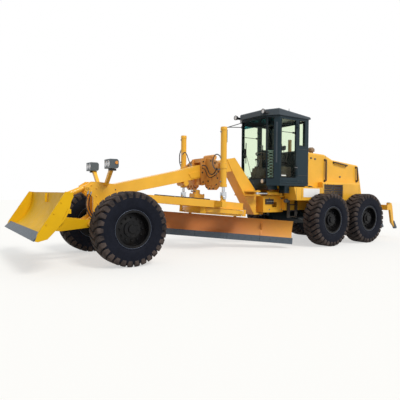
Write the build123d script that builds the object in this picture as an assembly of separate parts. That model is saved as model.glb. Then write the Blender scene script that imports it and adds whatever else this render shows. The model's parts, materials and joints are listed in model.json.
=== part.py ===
from build123d import *
import os
from math import atan2, cos, degrees, radians, sin

# A motor grader with an articulated frame, a tandem drive, a box blade in front and a ripper behind.
# Millimetres, X forward, Y to the left, Z up. The origin is on the ground, at the middle of its box.

os.makedirs("parts", exist_ok=True)

# Fits between pieces
GAP = 5.0
SEAT_GAP = 0.3
RUNNING_FIT = 0.05

# Wheels and tyres
WHEEL_R = 675.0
TYRE_WIDTH = 445.0
BEAD_R = 318.0
LUG_COUNT = 30
LUG_DEPTH = 36.0
LUG_SHARE = 0.74
LUG_RISE = 74.0
RIM_WALL = 18.0
RIM_LIP_R = 345.0
HUB_R = 150.0
SPINDLE_R = 55.0
SPINDLE_DEPTH = 200.0
FRONT_AXLE_X = 3700.0
MIDDLE_AXLE_X = -1774.0
REAR_AXLE_X = -3324.0
WHEEL_Y = 1080.0
RIM_HALF = TYRE_WIDTH * 0.42
RIM_INNER_Y = WHEEL_Y - RIM_HALF
SPINDLE_END_Y = RIM_INNER_Y + SPINDLE_DEPTH - GAP

# Front axle and steering
KINGPIN_Y = 790.0
KINGPIN_R = 35.0
YOKE_R = 75.0
YOKE_DEPTH = 160.0
YOKE_HALF_HEIGHT = 128.0
KNUCKLE_HALF_HEIGHT = 76.0
AXLE_HALF_DEPTH = 90.0
AXLE_PIN_Z = 890.0
STEER_ARM = 250.0
STEER_ARM_Z = 675.0
STEER_ARM_HALF = 20.0
STEER_EYE_R = 42.0
STEER_PIN_R = 20.0
STEER_TIP_X = FRONT_AXLE_X - STEER_ARM
STEER_CYLINDER_ARM = 160.0
STEER_BARREL_PIN = (3510.0, 250.0, 715.0)
STEER_ROD_PIN = (FRONT_AXLE_X - STEER_CYLINDER_ARM, KINGPIN_Y - 15, 715.0)
STEER_BARREL_R = 34.0
STEER_BARREL = 300.0
STEER_ROD_R = 17.0
STEER_ROD_FROM = 173.0
TIE_ROD_R = 22.0

# Front frame
BEAM_HALF_WIDTH = 160.0
LEG_HALF_WIDTH = 172.0
HEAD_HALF_WIDTH = 150.0
HEAD_FRONT_X = 3880.0
HINGE_X = -400.0
HINGE_PIN_R = 50.0
LUG_R = 125.0
LUG_THICK = 50.0
BALL_X = 3430.0
BALL_Z = 1000.0
BALL_R = 60.0
LAMP_AT = (3830.0, 545.0, 1775.0)
LAMP_SIZE = (170.0, 300.0, 175.0)
POST_X = (3785.0, 3845.0)

# Articulation cylinders
ARTIC_Z = 1335.0
ARTIC_Y = 390.0
ARTIC_FRONT_X = 0.0
ARTIC_REAR_X = -800.0
ARTIC_BARREL_R = 48.0
ARTIC_ROD_R = 28.0
ARTIC_PIN_R = 25.0
ARTIC_BARREL_END = -340.0
ARTIC_ROD_FROM = -545.0

# Drawbar, circle and blade, in the drawbar's own frame at its ball
DRAWBAR_PITCH = 4.7
CIRCLE_BACK = 2358.0
CIRCLE_YAW = 53.8
RING_OUT_R = 730.0
RING_FLANGE_R = 690.0
RING_IN_R = 600.0
RING_Z = (15.0, 60.0, 150.0)
TOOTH_COUNT = 72
TOOTH_DEPTH = 22.0
PINION_TEETH = 7
PINION_R = 66.0
DRAW_Z = (170.0, 330.0)
LIFT_BACK = 2015.0
LIFT_Y = 835.0
LIFT_EYE_UP = 405.0
EYE_BALL_R = 45.0
LIFT_LUG_HALF = 30.0
BLADE_LENGTH = 3965.0
BLADE_HEIGHT = 557.0
BLADE_TOP_DOWN = 5.0
BLADE_EDGE_BACK = 193.0
BLADE_CURVE = 145.0
BLADE_PLATE = 25.0
EDGE_HEIGHT = 150.0
EDGE_THICK = 20.0
ARM_Y = 560.0
ARM_THICK = 60.0
PAD_HALF = 80.0
RAIL = 50.0
RAIL_X = -395.0
RAIL_HALF_LENGTH = 1250.0
SHIFT_X = -445.0
SHIFT_ROD_R = 28.0
SHIFT_BARREL_R = 50.0

# Lift cylinders and their saddle
TRUNNION_Z = 1920.0
TRUNNION_R = 32.0
LIFT_BARREL_R = 68.0
LIFT_BARREL_Z = (1464.0, 2770.0)
LIFT_ROD_R = 35.0
SADDLE_X = (1330.0, 1500.0)
SADDLE_WALL = 40.0
SADDLE_HOLE_R = 34.0
TANK_AT = (1165.0, 2172.0)
TANK_R = 62.0

# Rear frame and tandem drive
BOX_HALF_WIDTH = 300.0
BOX_X = (-986.0, -290.0)
BOX_Z = (850.0, 1270.0)
BOX_WALL = 30.0
RAIL_Y = (350.0, 450.0)
FRAME_Z = (900.0, 1200.0)
FRAME_REAR_X = -4150.0
REAR_PLATE = 40.0
PIVOT_X = (MIDDLE_AXLE_X + REAR_AXLE_X) / 2
TANDEM_Y = (640.0, 830.0)
TANDEM_HALF_HEIGHT = 230.0
AXLE_HUB_R = 120.0
AXLE_TUBE_R = 145.0
AXLE_BOWL_R = 240.0
ENGINE_X = (-3300.0, -2000.0)
TOW_LUG_R = 60.0
TOW_HOLE_R = 26.0

# Cab
CAB_FRONT_X = -213.0
CAB_CORNER_X = -429.0
CAB_REAR_X = -1460.0
CAB_FRONT_Y = 480.0
CAB_Y = 720.0
CAB_Z = (1530.0, 3262.0)
CAB_WALL = 45.0
CAB_FLOOR = 60.0
NOSE_Z = 1430.0
SILL_Z = 1613.0
FRONT_WINDOW_Z = (1720.0, 3205.0)
REAR_WINDOW_Z = (2480.0, 3180.0)
QUARTER_X = (-1315.0, -1120.0)
QUARTER_Z = (2572.0, 3190.0)
ROOF_FRONT_X = -80.0
ROOF_FRONT_Y = 400.0
ROOF_OVER = 25.0
ROOF_TOP_Z = (3325.0, 3432.0)
ROOF_ROUND = 42.0
DOOR_X = (-1030.0, -440.0)
DOOR_Z = (1650.0, 3228.0)
DOOR_FRAME = 45.0
DOOR_SILL = 95.0
DOOR_THICK = 40.0
DOOR_PIN = (-1035.0, 736.0)
DOOR_PIN_R = 8.0
DOOR_HINGE_Z = (1850.0, 3050.0)
GLASS = 6.0

# Hood
HOOD_HALF_WIDTH = 600.0
HOOD_WALL = 25.0
HOOD_FRONT_X = -1480.0
HOOD_ROUND = 60.0
HOOD_LOW_Z = 1205.0
SKIRT_Y = 760.0
SKIRT_X = (-3640.0, -2000.0)
SKIRT_Z = (1165.0, 1650.0)
SIDE_GRILLE_X = (-2860.0, -2060.0)
SIDE_GRILLE_Z = (1225.0, 1590.0)
REAR_GRILLE_X = (-4100.0, -3700.0)
REAR_GRILLE_Y = 470.0
REAR_GRILLE_Z = (1330.0, 2040.0)
SLAT = 26.0
SLAT_PITCH = 46.0
HANDLE_R = 14.0
HANDLE_REACH = 55.0
PIPE_AT = (-1880.0, -330.0)
CLEANER_AT = (-2168.0, 200.0)

# Front blade
PUSH_PIVOT = (4150.0, 720.0)
PUSH_PIN_R = 35.0
FRONT_EYE = (4165.0, 1415.0)
FRONT_BLADE_EYE = (4770.0, 1160.0)
FRONT_BLADE_HALF = 1450.0
FRONT_PLATE = 25.0
PUSH_Y = (210.0, 270.0)
BRACKET_Y = (150.0, 200.0)
FRONT_CYLINDER = {
    "barrel": 530.0, "barrel_r": 55.0, "rod_r": 30.0, "rod_from": 180.0,
    "eye_r": 48.0, "eye_width": 90.0, "pin_r": 25.0,
}

# Ripper
RIPPER_PIVOT = (-4380.0, 760.0)
RIPPER_EYE = (-4330.0, 1180.0)
RIPPER_BEAM_EYE = (-4800.0, 1080.0)
RIPPER_HALF = 900.0
RIPPER_PIN_R = 30.0
TINE_COUNT = 5
TINE_THICK = 60.0
RIPPER_CYLINDER = {
    "barrel": 380.0, "barrel_r": 50.0, "rod_r": 26.0, "rod_from": 146.0,
    "eye_r": 46.0, "eye_width": 80.0, "pin_r": 25.0,
}

draw_at = Location((BALL_X, 0, BALL_Z), (0, -DRAWBAR_PITCH, 0))
circle_at = draw_at * Location((-CIRCLE_BACK, 0, 0), (0, 0, CIRCLE_YAW))
lift_eye = (draw_at * Pos(-LIFT_BACK, LIFT_Y, LIFT_EYE_UP)).position
LIFT_X = lift_eye.X
LIFT_EYE_Z = lift_eye.Z

nodes = {}


def keep(name, *solids):
    nodes[name] = Compound(label=name, children=[s for piece in solids for s in piece.solids()])


def block(x, y, z):
    centre = ((x[0] + x[1]) / 2, (y[0] + y[1]) / 2, (z[0] + z[1]) / 2)
    return Pos(*centre) * Box(abs(x[1] - x[0]), abs(y[1] - y[0]), abs(z[1] - z[0]))


def extrude_outline(points, plane, depth):
    return extrude(plane * make_face(Polyline(*points, close=True)), amount=depth)


def side_plane(y):
    return Plane(origin=(0, y, 0), x_dir=(1, 0, 0), z_dir=(0, -1, 0))


def side_plate(points, y):
    """An outline of (x, z) points, as thick as from y[0] to y[1]."""
    return extrude_outline(points, side_plane(max(y)), abs(y[1] - y[0]))


def floor_plate(points, z):
    """An outline of (x, y) points, from z[0] up to z[1]."""
    return extrude_outline(points, Plane.XY.offset(z[0]), z[1] - z[0])


def cross_plate(points, x):
    """An outline of (y, z) points, from x[0] to x[1]."""
    plane = Plane(origin=(x[0], 0, 0), x_dir=(0, 1, 0), z_dir=(1, 0, 0))
    return extrude_outline(points, plane, x[1] - x[0])


def rod(start, end, radius):
    run = Vector(*end) - Vector(*start)
    place = Plane(origin=start, z_dir=run)
    return place * Cylinder(radius, run.length, align=(Align.CENTER, Align.CENTER, Align.MIN))


def across(x, z, y, radius):
    """A round bar along Y at (x, z), from y[0] to y[1]."""
    return rod((x, y[0], z), (x, y[1], z), radius)


def upright(x, y, z, radius):
    return rod((x, y, z[0]), (x, y, z[1]), radius)


def mirrored(piece):
    return mirror(piece, about=Plane.XZ)


def both(piece):
    return piece + mirrored(piece)


def toward(start, end, distance):
    run = (Vector(*end) - Vector(*start)).normalized()
    return tuple(Vector(*start) + run * distance)


def revolved(section):
    """Turns a section of (radius, y) points about the Y axis."""
    face = make_face(Polyline(*[(r, y, 0) for r, y in section], close=True))
    return revolve(face, axis=Axis.Y, revolution_arc=360)


def toothed(root_r, tip_r, count, z):
    """A wheel of straight-sided teeth, which stand from root_r out or in to tip_r."""
    pitch = 360 / count
    points = []
    for i in range(count):
        for radius, share in ((root_r, -0.32), (tip_r, -0.15), (tip_r, 0.15), (root_r, 0.32)):
            turn = radians((i + share) * pitch)
            points.append((radius * cos(turn), radius * sin(turn)))
    return floor_plate(points, z)


def cylinder_pair(start, end, size):
    """A hydraulic cylinder: its barrel hinges about Y at start, and its rod's eye lies at end."""
    length = (Vector(*end) - Vector(*start)).length
    eye_r, half = size["eye_r"], size["eye_width"] / 2
    gland, gland_r = size["barrel"] - 40, size["barrel_r"] + 8
    wall_end = toward(start, end, size["barrel"])
    floor = toward(start, end, eye_r + size["barrel_r"])
    barrel = rod(toward(start, end, eye_r * 0.8), wall_end, size["barrel_r"])
    barrel += rod(toward(start, end, gland), wall_end, gland_r)
    barrel -= rod(floor, wall_end, size["rod_r"] + RUNNING_FIT)
    ram = rod(toward(start, end, size["rod_from"]), toward(start, end, length - eye_r / 2), size["rod_r"])
    eyes = [across(x, z, (-half, half), eye_r) for x, _, z in (start, end)]
    bores = [across(x, z, (-eye_r * 2, eye_r * 2), size["pin_r"] + RUNNING_FIT) for x, _, z in (start, end)]
    return barrel + eyes[0] - bores[0], ram + eyes[1] - bores[1]


# Wheels: a tyre and a rim each, made at the origin with the outer side towards +Y.
def tyre():
    half = TYRE_WIDTH / 2
    side = [(BEAD_R, half * 0.80), (BEAD_R + 60, half * 0.95), (WHEEL_R * 0.75, half)]
    shoulder = [(WHEEL_R - 110, half * 0.985), (WHEEL_R - LUG_DEPTH - 12, half * 0.84)]
    inner = side + shoulder + [(WHEEL_R - LUG_DEPTH, half * 0.74)]
    outer = side + [(WHEEL_R - 45, half), (WHEEL_R, half * 0.81)]
    carcass, blank = [revolved(s + [(r, -y) for r, y in reversed(s)]) for s in (inner, outer)]
    pitch = 2 * WHEEL_R * sin(radians(180 / LUG_COUNT))
    groove_half = pitch * (1 - LUG_SHARE) / 2
    reach, fall = half + GAP, LUG_RISE * (half + GAP) / half
    chevron = [
        (groove_half, 0), (groove_half + fall, reach), (fall - groove_half, reach), (-groove_half, 0),
        (fall - groove_half, -reach), (groove_half + fall, -reach),
    ]
    groove = floor_plate(chevron, (WHEEL_R * 0.75, WHEEL_R + GAP)) - carcass
    return blank - [Rot(0, i * 360 / LUG_COUNT, 0) * groove for i in range(LUG_COUNT)]


def rim():
    disc_y = RIM_HALF * 0.25
    wall_r = BEAD_R - RIM_WALL
    seat_r = BEAD_R - SEAT_GAP
    lip_y = (RIM_HALF + 8, RIM_HALF + 16)
    section = [
        (seat_r, -lip_y[0]), (seat_r, lip_y[0]), (RIM_LIP_R, lip_y[0]), (RIM_LIP_R, lip_y[1]),
        (wall_r, lip_y[1]), (wall_r, disc_y + 30), (HUB_R, disc_y + 60), (HUB_R, RIM_HALF * 0.8), (0, RIM_HALF * 0.8),
        (0, -RIM_HALF * 0.9), (HUB_R * 0.9, -RIM_HALF * 0.9), (HUB_R, disc_y + 20), (wall_r, disc_y),
        (wall_r, -lip_y[1]), (RIM_LIP_R, -lip_y[1]), (RIM_LIP_R, -lip_y[0]),
    ]
    bore = rod((0, -RIM_HALF, 0), (0, -RIM_HALF + SPINDLE_DEPTH, 0), SPINDLE_R + RUNNING_FIT)
    return revolved(section) - bore


TYRE, RIM = tyre(), rim()
WHEELS = {"front": FRONT_AXLE_X, "middle": MIDDLE_AXLE_X, "rear": REAR_AXLE_X}
for place, wheel_x in WHEELS.items():
    left = Pos(wheel_x, WHEEL_Y, WHEEL_R)
    keep(f"tyre_{place}_left", left * TYRE)
    keep(f"rim_{place}_left", left * RIM)
    keep(f"tyre_{place}_right", mirrored(left * TYRE))
    keep(f"rim_{place}_right", mirrored(left * RIM))


# Front axle: an arched beam with a yoke at each end, hung on a lengthwise pin.
def front_axle():
    x = (FRONT_AXLE_X - AXLE_HALF_DEPTH, FRONT_AXLE_X + AXLE_HALF_DEPTH)
    low, high = WHEEL_R - YOKE_HALF_HEIGHT, WHEEL_R + YOKE_HALF_HEIGHT
    outline = [
        (0, 770), (330, 730), (560, low), (KINGPIN_Y, low), (KINGPIN_Y, high), (620, high + 40),
        (330, 980), (0, 1000),
    ]
    beam = both(cross_plate(outline, x))
    slot_z = (WHEEL_R - KNUCKLE_HALF_HEIGHT - GAP, WHEEL_R + KNUCKLE_HALF_HEIGHT + GAP)
    slot_y = (KINGPIN_Y - YOKE_DEPTH, KINGPIN_Y + YOKE_DEPTH)
    yoke = upright(FRONT_AXLE_X, KINGPIN_Y, (low, high), YOKE_R)
    slot = block((x[0] - GAP, x[1] + GAP), slot_y, slot_z)
    pin = upright(FRONT_AXLE_X, KINGPIN_Y, (low, high), KINGPIN_R)
    beam = beam + both(yoke) - both(slot) + both(pin)
    reach = AXLE_HALF_DEPTH + 75
    beam += rod((FRONT_AXLE_X - reach, 0, AXLE_PIN_Z), (FRONT_AXLE_X + reach, 0, AXLE_PIN_Z), HINGE_PIN_R)
    pin_x, pin_y, pin_z = STEER_BARREL_PIN
    lug_z = pin_z + STEER_BARREL_R + GAP
    beam += block((pin_x - 45, x[0]), (pin_y - 50, pin_y + 50), (lug_z, lug_z + 45))
    return beam + upright(pin_x, pin_y, (pin_z - 45, lug_z), STEER_PIN_R)


def knuckle(with_clevis):
    z = (WHEEL_R - KNUCKLE_HALF_HEIGHT, WHEEL_R + KNUCKLE_HALF_HEIGHT)
    arm_z = (STEER_ARM_Z - STEER_ARM_HALF, STEER_ARM_Z + STEER_ARM_HALF)
    body = upright(FRONT_AXLE_X, KINGPIN_Y, z, YOKE_R)
    body += rod((FRONT_AXLE_X, KINGPIN_Y, WHEEL_R), (FRONT_AXLE_X, SPINDLE_END_Y, WHEEL_R), SPINDLE_R)
    arm = [
        (FRONT_AXLE_X, KINGPIN_Y - 50), (FRONT_AXLE_X, KINGPIN_Y + 50),
        (STEER_TIP_X, KINGPIN_Y + STEER_EYE_R), (STEER_TIP_X, KINGPIN_Y - STEER_EYE_R),
    ]
    body += floor_plate(arm, arm_z) + upright(STEER_TIP_X, KINGPIN_Y, arm_z, STEER_EYE_R)
    body += upright(STEER_TIP_X, KINGPIN_Y, (arm_z[0] - 55, arm_z[1]), STEER_PIN_R)
    if with_clevis:
        back = STEER_ROD_PIN[0] - 40
        cheek = [
            (FRONT_AXLE_X, KINGPIN_Y - 50), (FRONT_AXLE_X, KINGPIN_Y + 50), (back, KINGPIN_Y + 20),
            (back, KINGPIN_Y - 50),
        ]
        body += floor_plate(cheek, (z[1] - 16, z[1]))
    return body - upright(FRONT_AXLE_X, KINGPIN_Y, (z[0] - 1, z[1] + 1), KINGPIN_R + RUNNING_FIT)


def tie_rod():
    top = STEER_ARM_Z - STEER_ARM_HALF - GAP
    mid = top - 25
    bar = rod((STEER_TIP_X, -KINGPIN_Y, mid), (STEER_TIP_X, KINGPIN_Y, mid), TIE_ROD_R)
    bar += both(upright(STEER_TIP_X, KINGPIN_Y, (top - 50, top), STEER_EYE_R - 6))
    return bar - both(upright(STEER_TIP_X, KINGPIN_Y, (top - 60, top + 1), STEER_PIN_R + RUNNING_FIT))


def steering_cylinder():
    start, end = STEER_BARREL_PIN, STEER_ROD_PIN
    length = (Vector(*end) - Vector(*start)).length
    wall_end = toward(start, end, STEER_BARREL)
    barrel = rod(toward(start, end, 25), wall_end, STEER_BARREL_R)
    barrel -= rod(toward(start, end, 60), wall_end, STEER_ROD_R + RUNNING_FIT)
    barrel += upright(start[0], start[1], (start[2] - 30, start[2] + 30), STEER_BARREL_R)
    barrel -= upright(start[0], start[1], (start[2] - 60, start[2] + 60), STEER_PIN_R + RUNNING_FIT)
    ram = rod(toward(start, end, STEER_ROD_FROM), toward(start, end, length - 20), STEER_ROD_R)
    ram += upright(end[0], end[1], (end[2] - STEER_ROD_R, end[2] + STEER_ROD_R), 32)
    return barrel, ram


steer_barrel, steer_ram = steering_cylinder()
keep("front_axle", front_axle())
keep("knuckle_left", knuckle(True))
keep("knuckle_right", mirrored(knuckle(False)))
keep("tie_rod", tie_rod())
keep("steering_cylinder", steer_barrel)
keep("steering_rod", steer_ram)


# Front frame: the arched main beam, its leg with the hinge lugs, and the head over the axle.
def main_beam():
    beam = [
        (3700, 1230), (3700, 1470), (3621, 1487), (3040, 1616), (2047, 1837), (1180, 2065),
        (539, 2195), (250, 1860), (660, 1860), (1322, 1724), (2045, 1566), (3038, 1371), (3350, 1290),
    ]
    leg = [(539, 2195), (-160, 1383), (-160, 800), (-100, 790), (660, 1930), (780, 2146)]
    doubler = [(1100, 1800), (1180, 1930), (1870, 1760), (1790, 1650)]
    frame = side_plate(beam, (-BEAM_HALF_WIDTH, BEAM_HALF_WIDTH))
    frame += side_plate(leg, (-LEG_HALF_WIDTH, LEG_HALF_WIDTH))
    frame += side_plate(doubler, (-LEG_HALF_WIDTH, LEG_HALF_WIDTH))
    return frame + across(1920, 1545, (-BEAM_HALF_WIDTH, BEAM_HALF_WIDTH), 62)


def hinge_lugs():
    low = (BOX_Z[0] - 2 * GAP - LUG_THICK, BOX_Z[0] - 2 * GAP)
    high = (BOX_Z[1] + 2 * GAP, BOX_Z[1] + 2 * GAP + LUG_THICK)
    outline = [(-120, -LUG_R), (-120, LUG_R), (HINGE_X, LUG_R), (HINGE_X, -LUG_R)]
    lugs = upright(HINGE_X, 0, (low[0], high[1]), HINGE_PIN_R)
    for z in (low, high):
        lugs += floor_plate(outline, z) + upright(HINGE_X, 0, z, LUG_R)
    clevis = [
        (190, LEG_HALF_WIDTH - 20), (250, LEG_HALF_WIDTH), (60, 440), (-60, 440), (-70, 360),
        (-120, LEG_HALF_WIDTH - 20),
    ]
    for side in (1, -1):
        inner, outer, cap = [ARTIC_Z + side * rise for rise in (32, 62, 72)]
        lugs += both(floor_plate(clevis, sorted((inner, outer))))
        lugs += both(upright(ARTIC_FRONT_X, ARTIC_Y, sorted((outer, cap)), 30))
    return lugs


def head():
    outline = [
        (3300, 1300), (3300, 1180), (3480, 1110), (3480, 890), (3530, 890), (3530, 1010),
        (HEAD_FRONT_X, 1010), (HEAD_FRONT_X, 1470), (3700, 1470),
    ]
    bracket = [
        (3620, 1487), (3961, 1530), (4104, 1530), (4230, 1450), (4215, 1350), (4070, 1230), (4060, 880),
        (4220, 780), (4220, 660), (4060, 650), (HEAD_FRONT_X, 800), (3866, 1010), (3620, 1250),
    ]
    ears_x = ((3530, FRONT_AXLE_X - AXLE_HALF_DEPTH - GAP), (FRONT_AXLE_X + AXLE_HALF_DEPTH + GAP, 3865))
    piece = side_plate(outline, (-HEAD_HALF_WIDTH, HEAD_HALF_WIDTH))
    for x in ears_x:
        piece += block(x, (-110, 110), (800, 1010))
    piece += both(side_plate(bracket, BRACKET_Y))
    piece += block((HEAD_FRONT_X, HEAD_FRONT_X + 50), (-BRACKET_Y[0], BRACKET_Y[0]), (830, 1510))
    piece += across(*PUSH_PIVOT, (-PUSH_Y[1] - 15, PUSH_Y[1] + 15), PUSH_PIN_R)
    piece += across(*FRONT_EYE, (-BRACKET_Y[0], BRACKET_Y[0]), FRONT_CYLINDER["pin_r"])
    return piece + rod((BALL_X - 25, 0, BALL_Z), (3500, 0, BALL_Z), BALL_R + 45)


def gooseneck():
    frame = main_beam() + hinge_lugs() + head()
    frame -= rod((3500, 0, AXLE_PIN_Z), (3900, 0, AXLE_PIN_Z), HINGE_PIN_R + SEAT_GAP)
    frame -= Pos(BALL_X, 0, BALL_Z) * Sphere(BALL_R + SEAT_GAP)
    return frame - draw_at * block((-200, -10), (-52, 52), (-52, 52))


def articulation_cylinder():
    centre = (ARTIC_Y, ARTIC_Z)
    barrel = rod((ARTIC_REAR_X + 30, *centre), (ARTIC_BARREL_END, *centre), ARTIC_BARREL_R)
    barrel -= rod((ARTIC_REAR_X + 75, *centre), (ARTIC_BARREL_END, *centre), ARTIC_ROD_R + RUNNING_FIT)
    barrel += upright(ARTIC_REAR_X, ARTIC_Y, (ARTIC_Z - 52, ARTIC_Z + 52), ARTIC_BARREL_R)
    ram = rod((ARTIC_ROD_FROM, *centre), (ARTIC_FRONT_X - 30, *centre), ARTIC_ROD_R)
    ram += upright(ARTIC_FRONT_X, ARTIC_Y, (ARTIC_Z - 27, ARTIC_Z + 27), 45)
    bores = [upright(x, ARTIC_Y, (ARTIC_Z - 60, ARTIC_Z + 60), ARTIC_PIN_R + RUNNING_FIT)
             for x in (ARTIC_REAR_X, ARTIC_FRONT_X)]
    return barrel - bores[0], ram - bores[1]


GOOSENECK = gooseneck()
artic_barrel, artic_ram = articulation_cylinder()
keep("gooseneck", GOOSENECK)
keep("hinge_cylinder_left", artic_barrel)
keep("hinge_rod_left", artic_ram)
keep("hinge_cylinder_right", mirrored(artic_barrel))
keep("hinge_rod_right", mirrored(artic_ram))


# Saddle: the yoke round the main beam that carries the lift cylinders' trunnions.
def saddle():
    wall = (BEAM_HALF_WIDTH + 12, BEAM_HALF_WIDTH + 12 + SADDLE_WALL)
    cheek = [(1250, 1560), (1520, 1500), (1560, 1800), (1540, 2120), (1290, 2150), (1230, 1800)]
    yoke = both(side_plate(cheek, wall))
    for x, z in ((SADDLE_X, (2040, 2130)), ((SADDLE_X[0], SADDLE_X[1] - 60), (1580, 1680))):
        yoke += block(x, (-wall[1], wall[1]), z)
    arm_y = LIFT_Y - LIFT_BARREL_R - 37
    lobe = [
        (wall[0], 1480), (300, 1400), (560, 1400), (arm_y - 60, 1480), (arm_y, 1850), (arm_y, 1990),
        (420, 2110), (wall[0], 2130),
    ]
    plate = cross_plate(lobe, (LIFT_X - 30, LIFT_X + 30))
    for y, z in ((300, 1480), (430, 1480), (560, 1480), (430, 1650), (600, 1700)):
        plate -= rod((LIFT_X - 60, y, z), (LIFT_X + 60, y, z), SADDLE_HOLE_R)
    boss = across(LIFT_X, TRUNNION_Z, (arm_y - 90, arm_y + 10), 85)
    trunnion = across(LIFT_X, TRUNNION_Z, (arm_y - 15, LIFT_Y - LIFT_BARREL_R - 2), TRUNNION_R)
    yoke += both(plate + boss + trunnion)
    return yoke + upright(1500, 0, (1510, 1690), 110)


def tanks():
    """The pressure tank that lies across the beam, on its bracket."""
    x, z = TANK_AT
    return across(x, z, (-190, 190), TANK_R) + block((x - 50, x + 50), (-90, 90), (z - 160, z))


def lift_cylinder():
    pin = across(LIFT_X, TRUNNION_Z, (LIFT_Y - 140, LIFT_Y - LIFT_BARREL_R - 2), TRUNNION_R + RUNNING_FIT)
    bore = upright(LIFT_X, LIFT_Y, (LIFT_BARREL_Z[0], LIFT_BARREL_Z[1] - 60), LIFT_ROD_R + RUNNING_FIT)
    barrel = upright(LIFT_X, LIFT_Y, LIFT_BARREL_Z, LIFT_BARREL_R)
    barrel += upright(LIFT_X, LIFT_Y, (TRUNNION_Z - 50, TRUNNION_Z + 50), LIFT_BARREL_R + 14)
    barrel += upright(LIFT_X, LIFT_Y, (LIFT_BARREL_Z[0], LIFT_BARREL_Z[0] + 60), LIFT_BARREL_R + 10)
    ram = upright(LIFT_X, LIFT_Y, (LIFT_EYE_Z + 100, LIFT_BARREL_Z[1] - 250), LIFT_ROD_R)
    cheek = (LIFT_LUG_HALF + GAP, LIFT_LUG_HALF + GAP + 20)
    eye_y, slot_y = [(LIFT_Y - reach, LIFT_Y + reach) for reach in reversed(cheek)]
    fork = block((LIFT_X - 45, LIFT_X + 45), eye_y, (LIFT_EYE_Z, LIFT_EYE_Z + 115))
    fork += across(LIFT_X, LIFT_EYE_Z, eye_y, 45)
    fork -= block((LIFT_X - 60, LIFT_X + 60), slot_y, (LIFT_EYE_Z - 60, LIFT_EYE_Z + 85))
    for y in ((eye_y[0] - 12, eye_y[0]), (eye_y[1], eye_y[1] + 12)):
        fork += across(LIFT_X, LIFT_EYE_Z, y, 26)
    return barrel - pin - bore, ram + fork


def headlamps():
    x, y, z = LAMP_AT
    size = [s / 2 for s in LAMP_SIZE[:2]]
    box = block((x - size[0], x + size[0]), (y - size[1], y + size[1]), (z, z + LAMP_SIZE[2]))
    back = [e for e in box.edges().filter_by(Axis.Y) if e.center().X < x]
    box = fillet(back, 45)
    face, lens_z = x + size[0], z + LAMP_SIZE[2] / 2
    for lens_y in (y - 70, y + 70):
        box -= rod((face - 18, lens_y, lens_z), (face + 1, lens_y, lens_z), 60)
    post = cross_plate([(165, 1460), (245, 1460), (y + 10, z + 1), (y - 95, z + 1)], POST_X)
    return both(box + post) - GOOSENECK


lift_barrel, lift_ram = lift_cylinder()
keep("saddle", saddle() + tanks() - GOOSENECK)
keep("lift_cylinder_left", lift_barrel)
keep("lift_rod_left", lift_ram)
keep("lift_cylinder_right", mirrored(lift_barrel))
keep("lift_rod_right", mirrored(lift_ram))
keep("headlamps", headlamps())


# Drawbar: ball, nose, two legs, a cross beam with the lift balls, and a plate over the circle.
def drawbar():
    low, high = DRAW_Z
    nose = [
        (-45, -38), (-45, 38), (-260, 110), (-520, high), (-760, high), (-760, low), (-420, 60), (-160, -38),
    ]
    leg = [(-470, 0), (-470, 80), (-1915, 640), (-1915, 480), (-700, 0)]
    ear = [
        (-LIFT_BACK - 90, 600), (-LIFT_BACK - 60, LIFT_Y + 60), (-LIFT_BACK + 60, LIFT_Y + 60),
        (-LIFT_BACK + 90, 600),
    ]
    lug = [
        (-LIFT_BACK - 60, high - 30), (-LIFT_BACK - 42, LIFT_EYE_UP), (-LIFT_BACK + 42, LIFT_EYE_UP),
        (-LIFT_BACK + 60, high - 30),
    ]
    tail = [(-LIFT_BACK - 80, 640), (-2860, 470), (-2860, 330), (-LIFT_BACK - 80, 480)]
    lug_y = (LIFT_Y - LIFT_LUG_HALF, LIFT_Y + LIFT_LUG_HALF)
    bar = side_plate(nose, (-50, 50)) + Sphere(BALL_R)
    bar += both(floor_plate(leg, DRAW_Z))
    bar += block((-LIFT_BACK - 100, -LIFT_BACK + 100), (-640, 640), DRAW_Z)
    bar += both(floor_plate(ear, (low + 20, high - 20)))
    bar += both(side_plate(lug, lug_y) + across(-LIFT_BACK, LIFT_EYE_UP, lug_y, EYE_BALL_R - 3))
    bar += both(floor_plate(tail, DRAW_Z)) + block((-2900, -2780), (-470, 470), DRAW_Z)
    centre = Pos(-CIRCLE_BACK, 0, 0)
    bar += centre * (upright(0, 0, (RING_Z[2] + 8, low), 700) - upright(0, 0, (0, low + 1), 560))
    shoe_r = (RING_OUT_R + GAP, RING_OUT_R + 65)
    half = (-60, 60)
    shoe = block(shoe_r, half, (RING_Z[0] + GAP, low + 12))
    shoe += block((RING_FLANGE_R + 8, shoe_r[1]), half, (RING_Z[0] + GAP, RING_Z[1] - SEAT_GAP))
    shoe += block((660, shoe_r[1]), half, (RING_Z[2] + 8, low + 12))
    for turn in (38, 142, 218, 322):
        bar += centre * Rot(0, 0, turn) * shoe
    return bar


def circle_drive():
    """The gearbox on the drawbar, its motor, and the pinion that stands inside the ring's teeth."""
    x = -CIRCLE_BACK + RING_IN_R - TOOTH_DEPTH - GAP - PINION_R
    top = DRAW_Z[1] + 130
    box = block((x - 165, x + 120), (-130, 130), (DRAW_Z[1], top))
    box = fillet(box.edges().filter_by(Axis.Z), 35)
    box += upright(x, 0, (top, top + 90), 85) + upright(x, 0, (RING_Z[1] + 20, DRAW_Z[1]), 50)
    return box + Pos(x, 0, 0) * toothed(PINION_R - 18, PINION_R, PINION_TEETH, (RING_Z[0], RING_Z[1] + 20))


keep("drawbar", draw_at * drawbar())
keep("circle_drive", draw_at * circle_drive())


# Circle: the turned ring with its inner teeth, and the two arms that carry the blade on its rails.
def circle():
    low, mid, high = RING_Z
    ring = upright(0, 0, (low, mid), RING_FLANGE_R) + upright(0, 0, (mid, high), RING_OUT_R)
    ring -= upright(0, 0, (mid, high + 1), RING_IN_R)
    return ring - toothed(RING_IN_R, RING_IN_R - TOOTH_DEPTH, TOOTH_COUNT, (low - 1, mid + 1))


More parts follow.
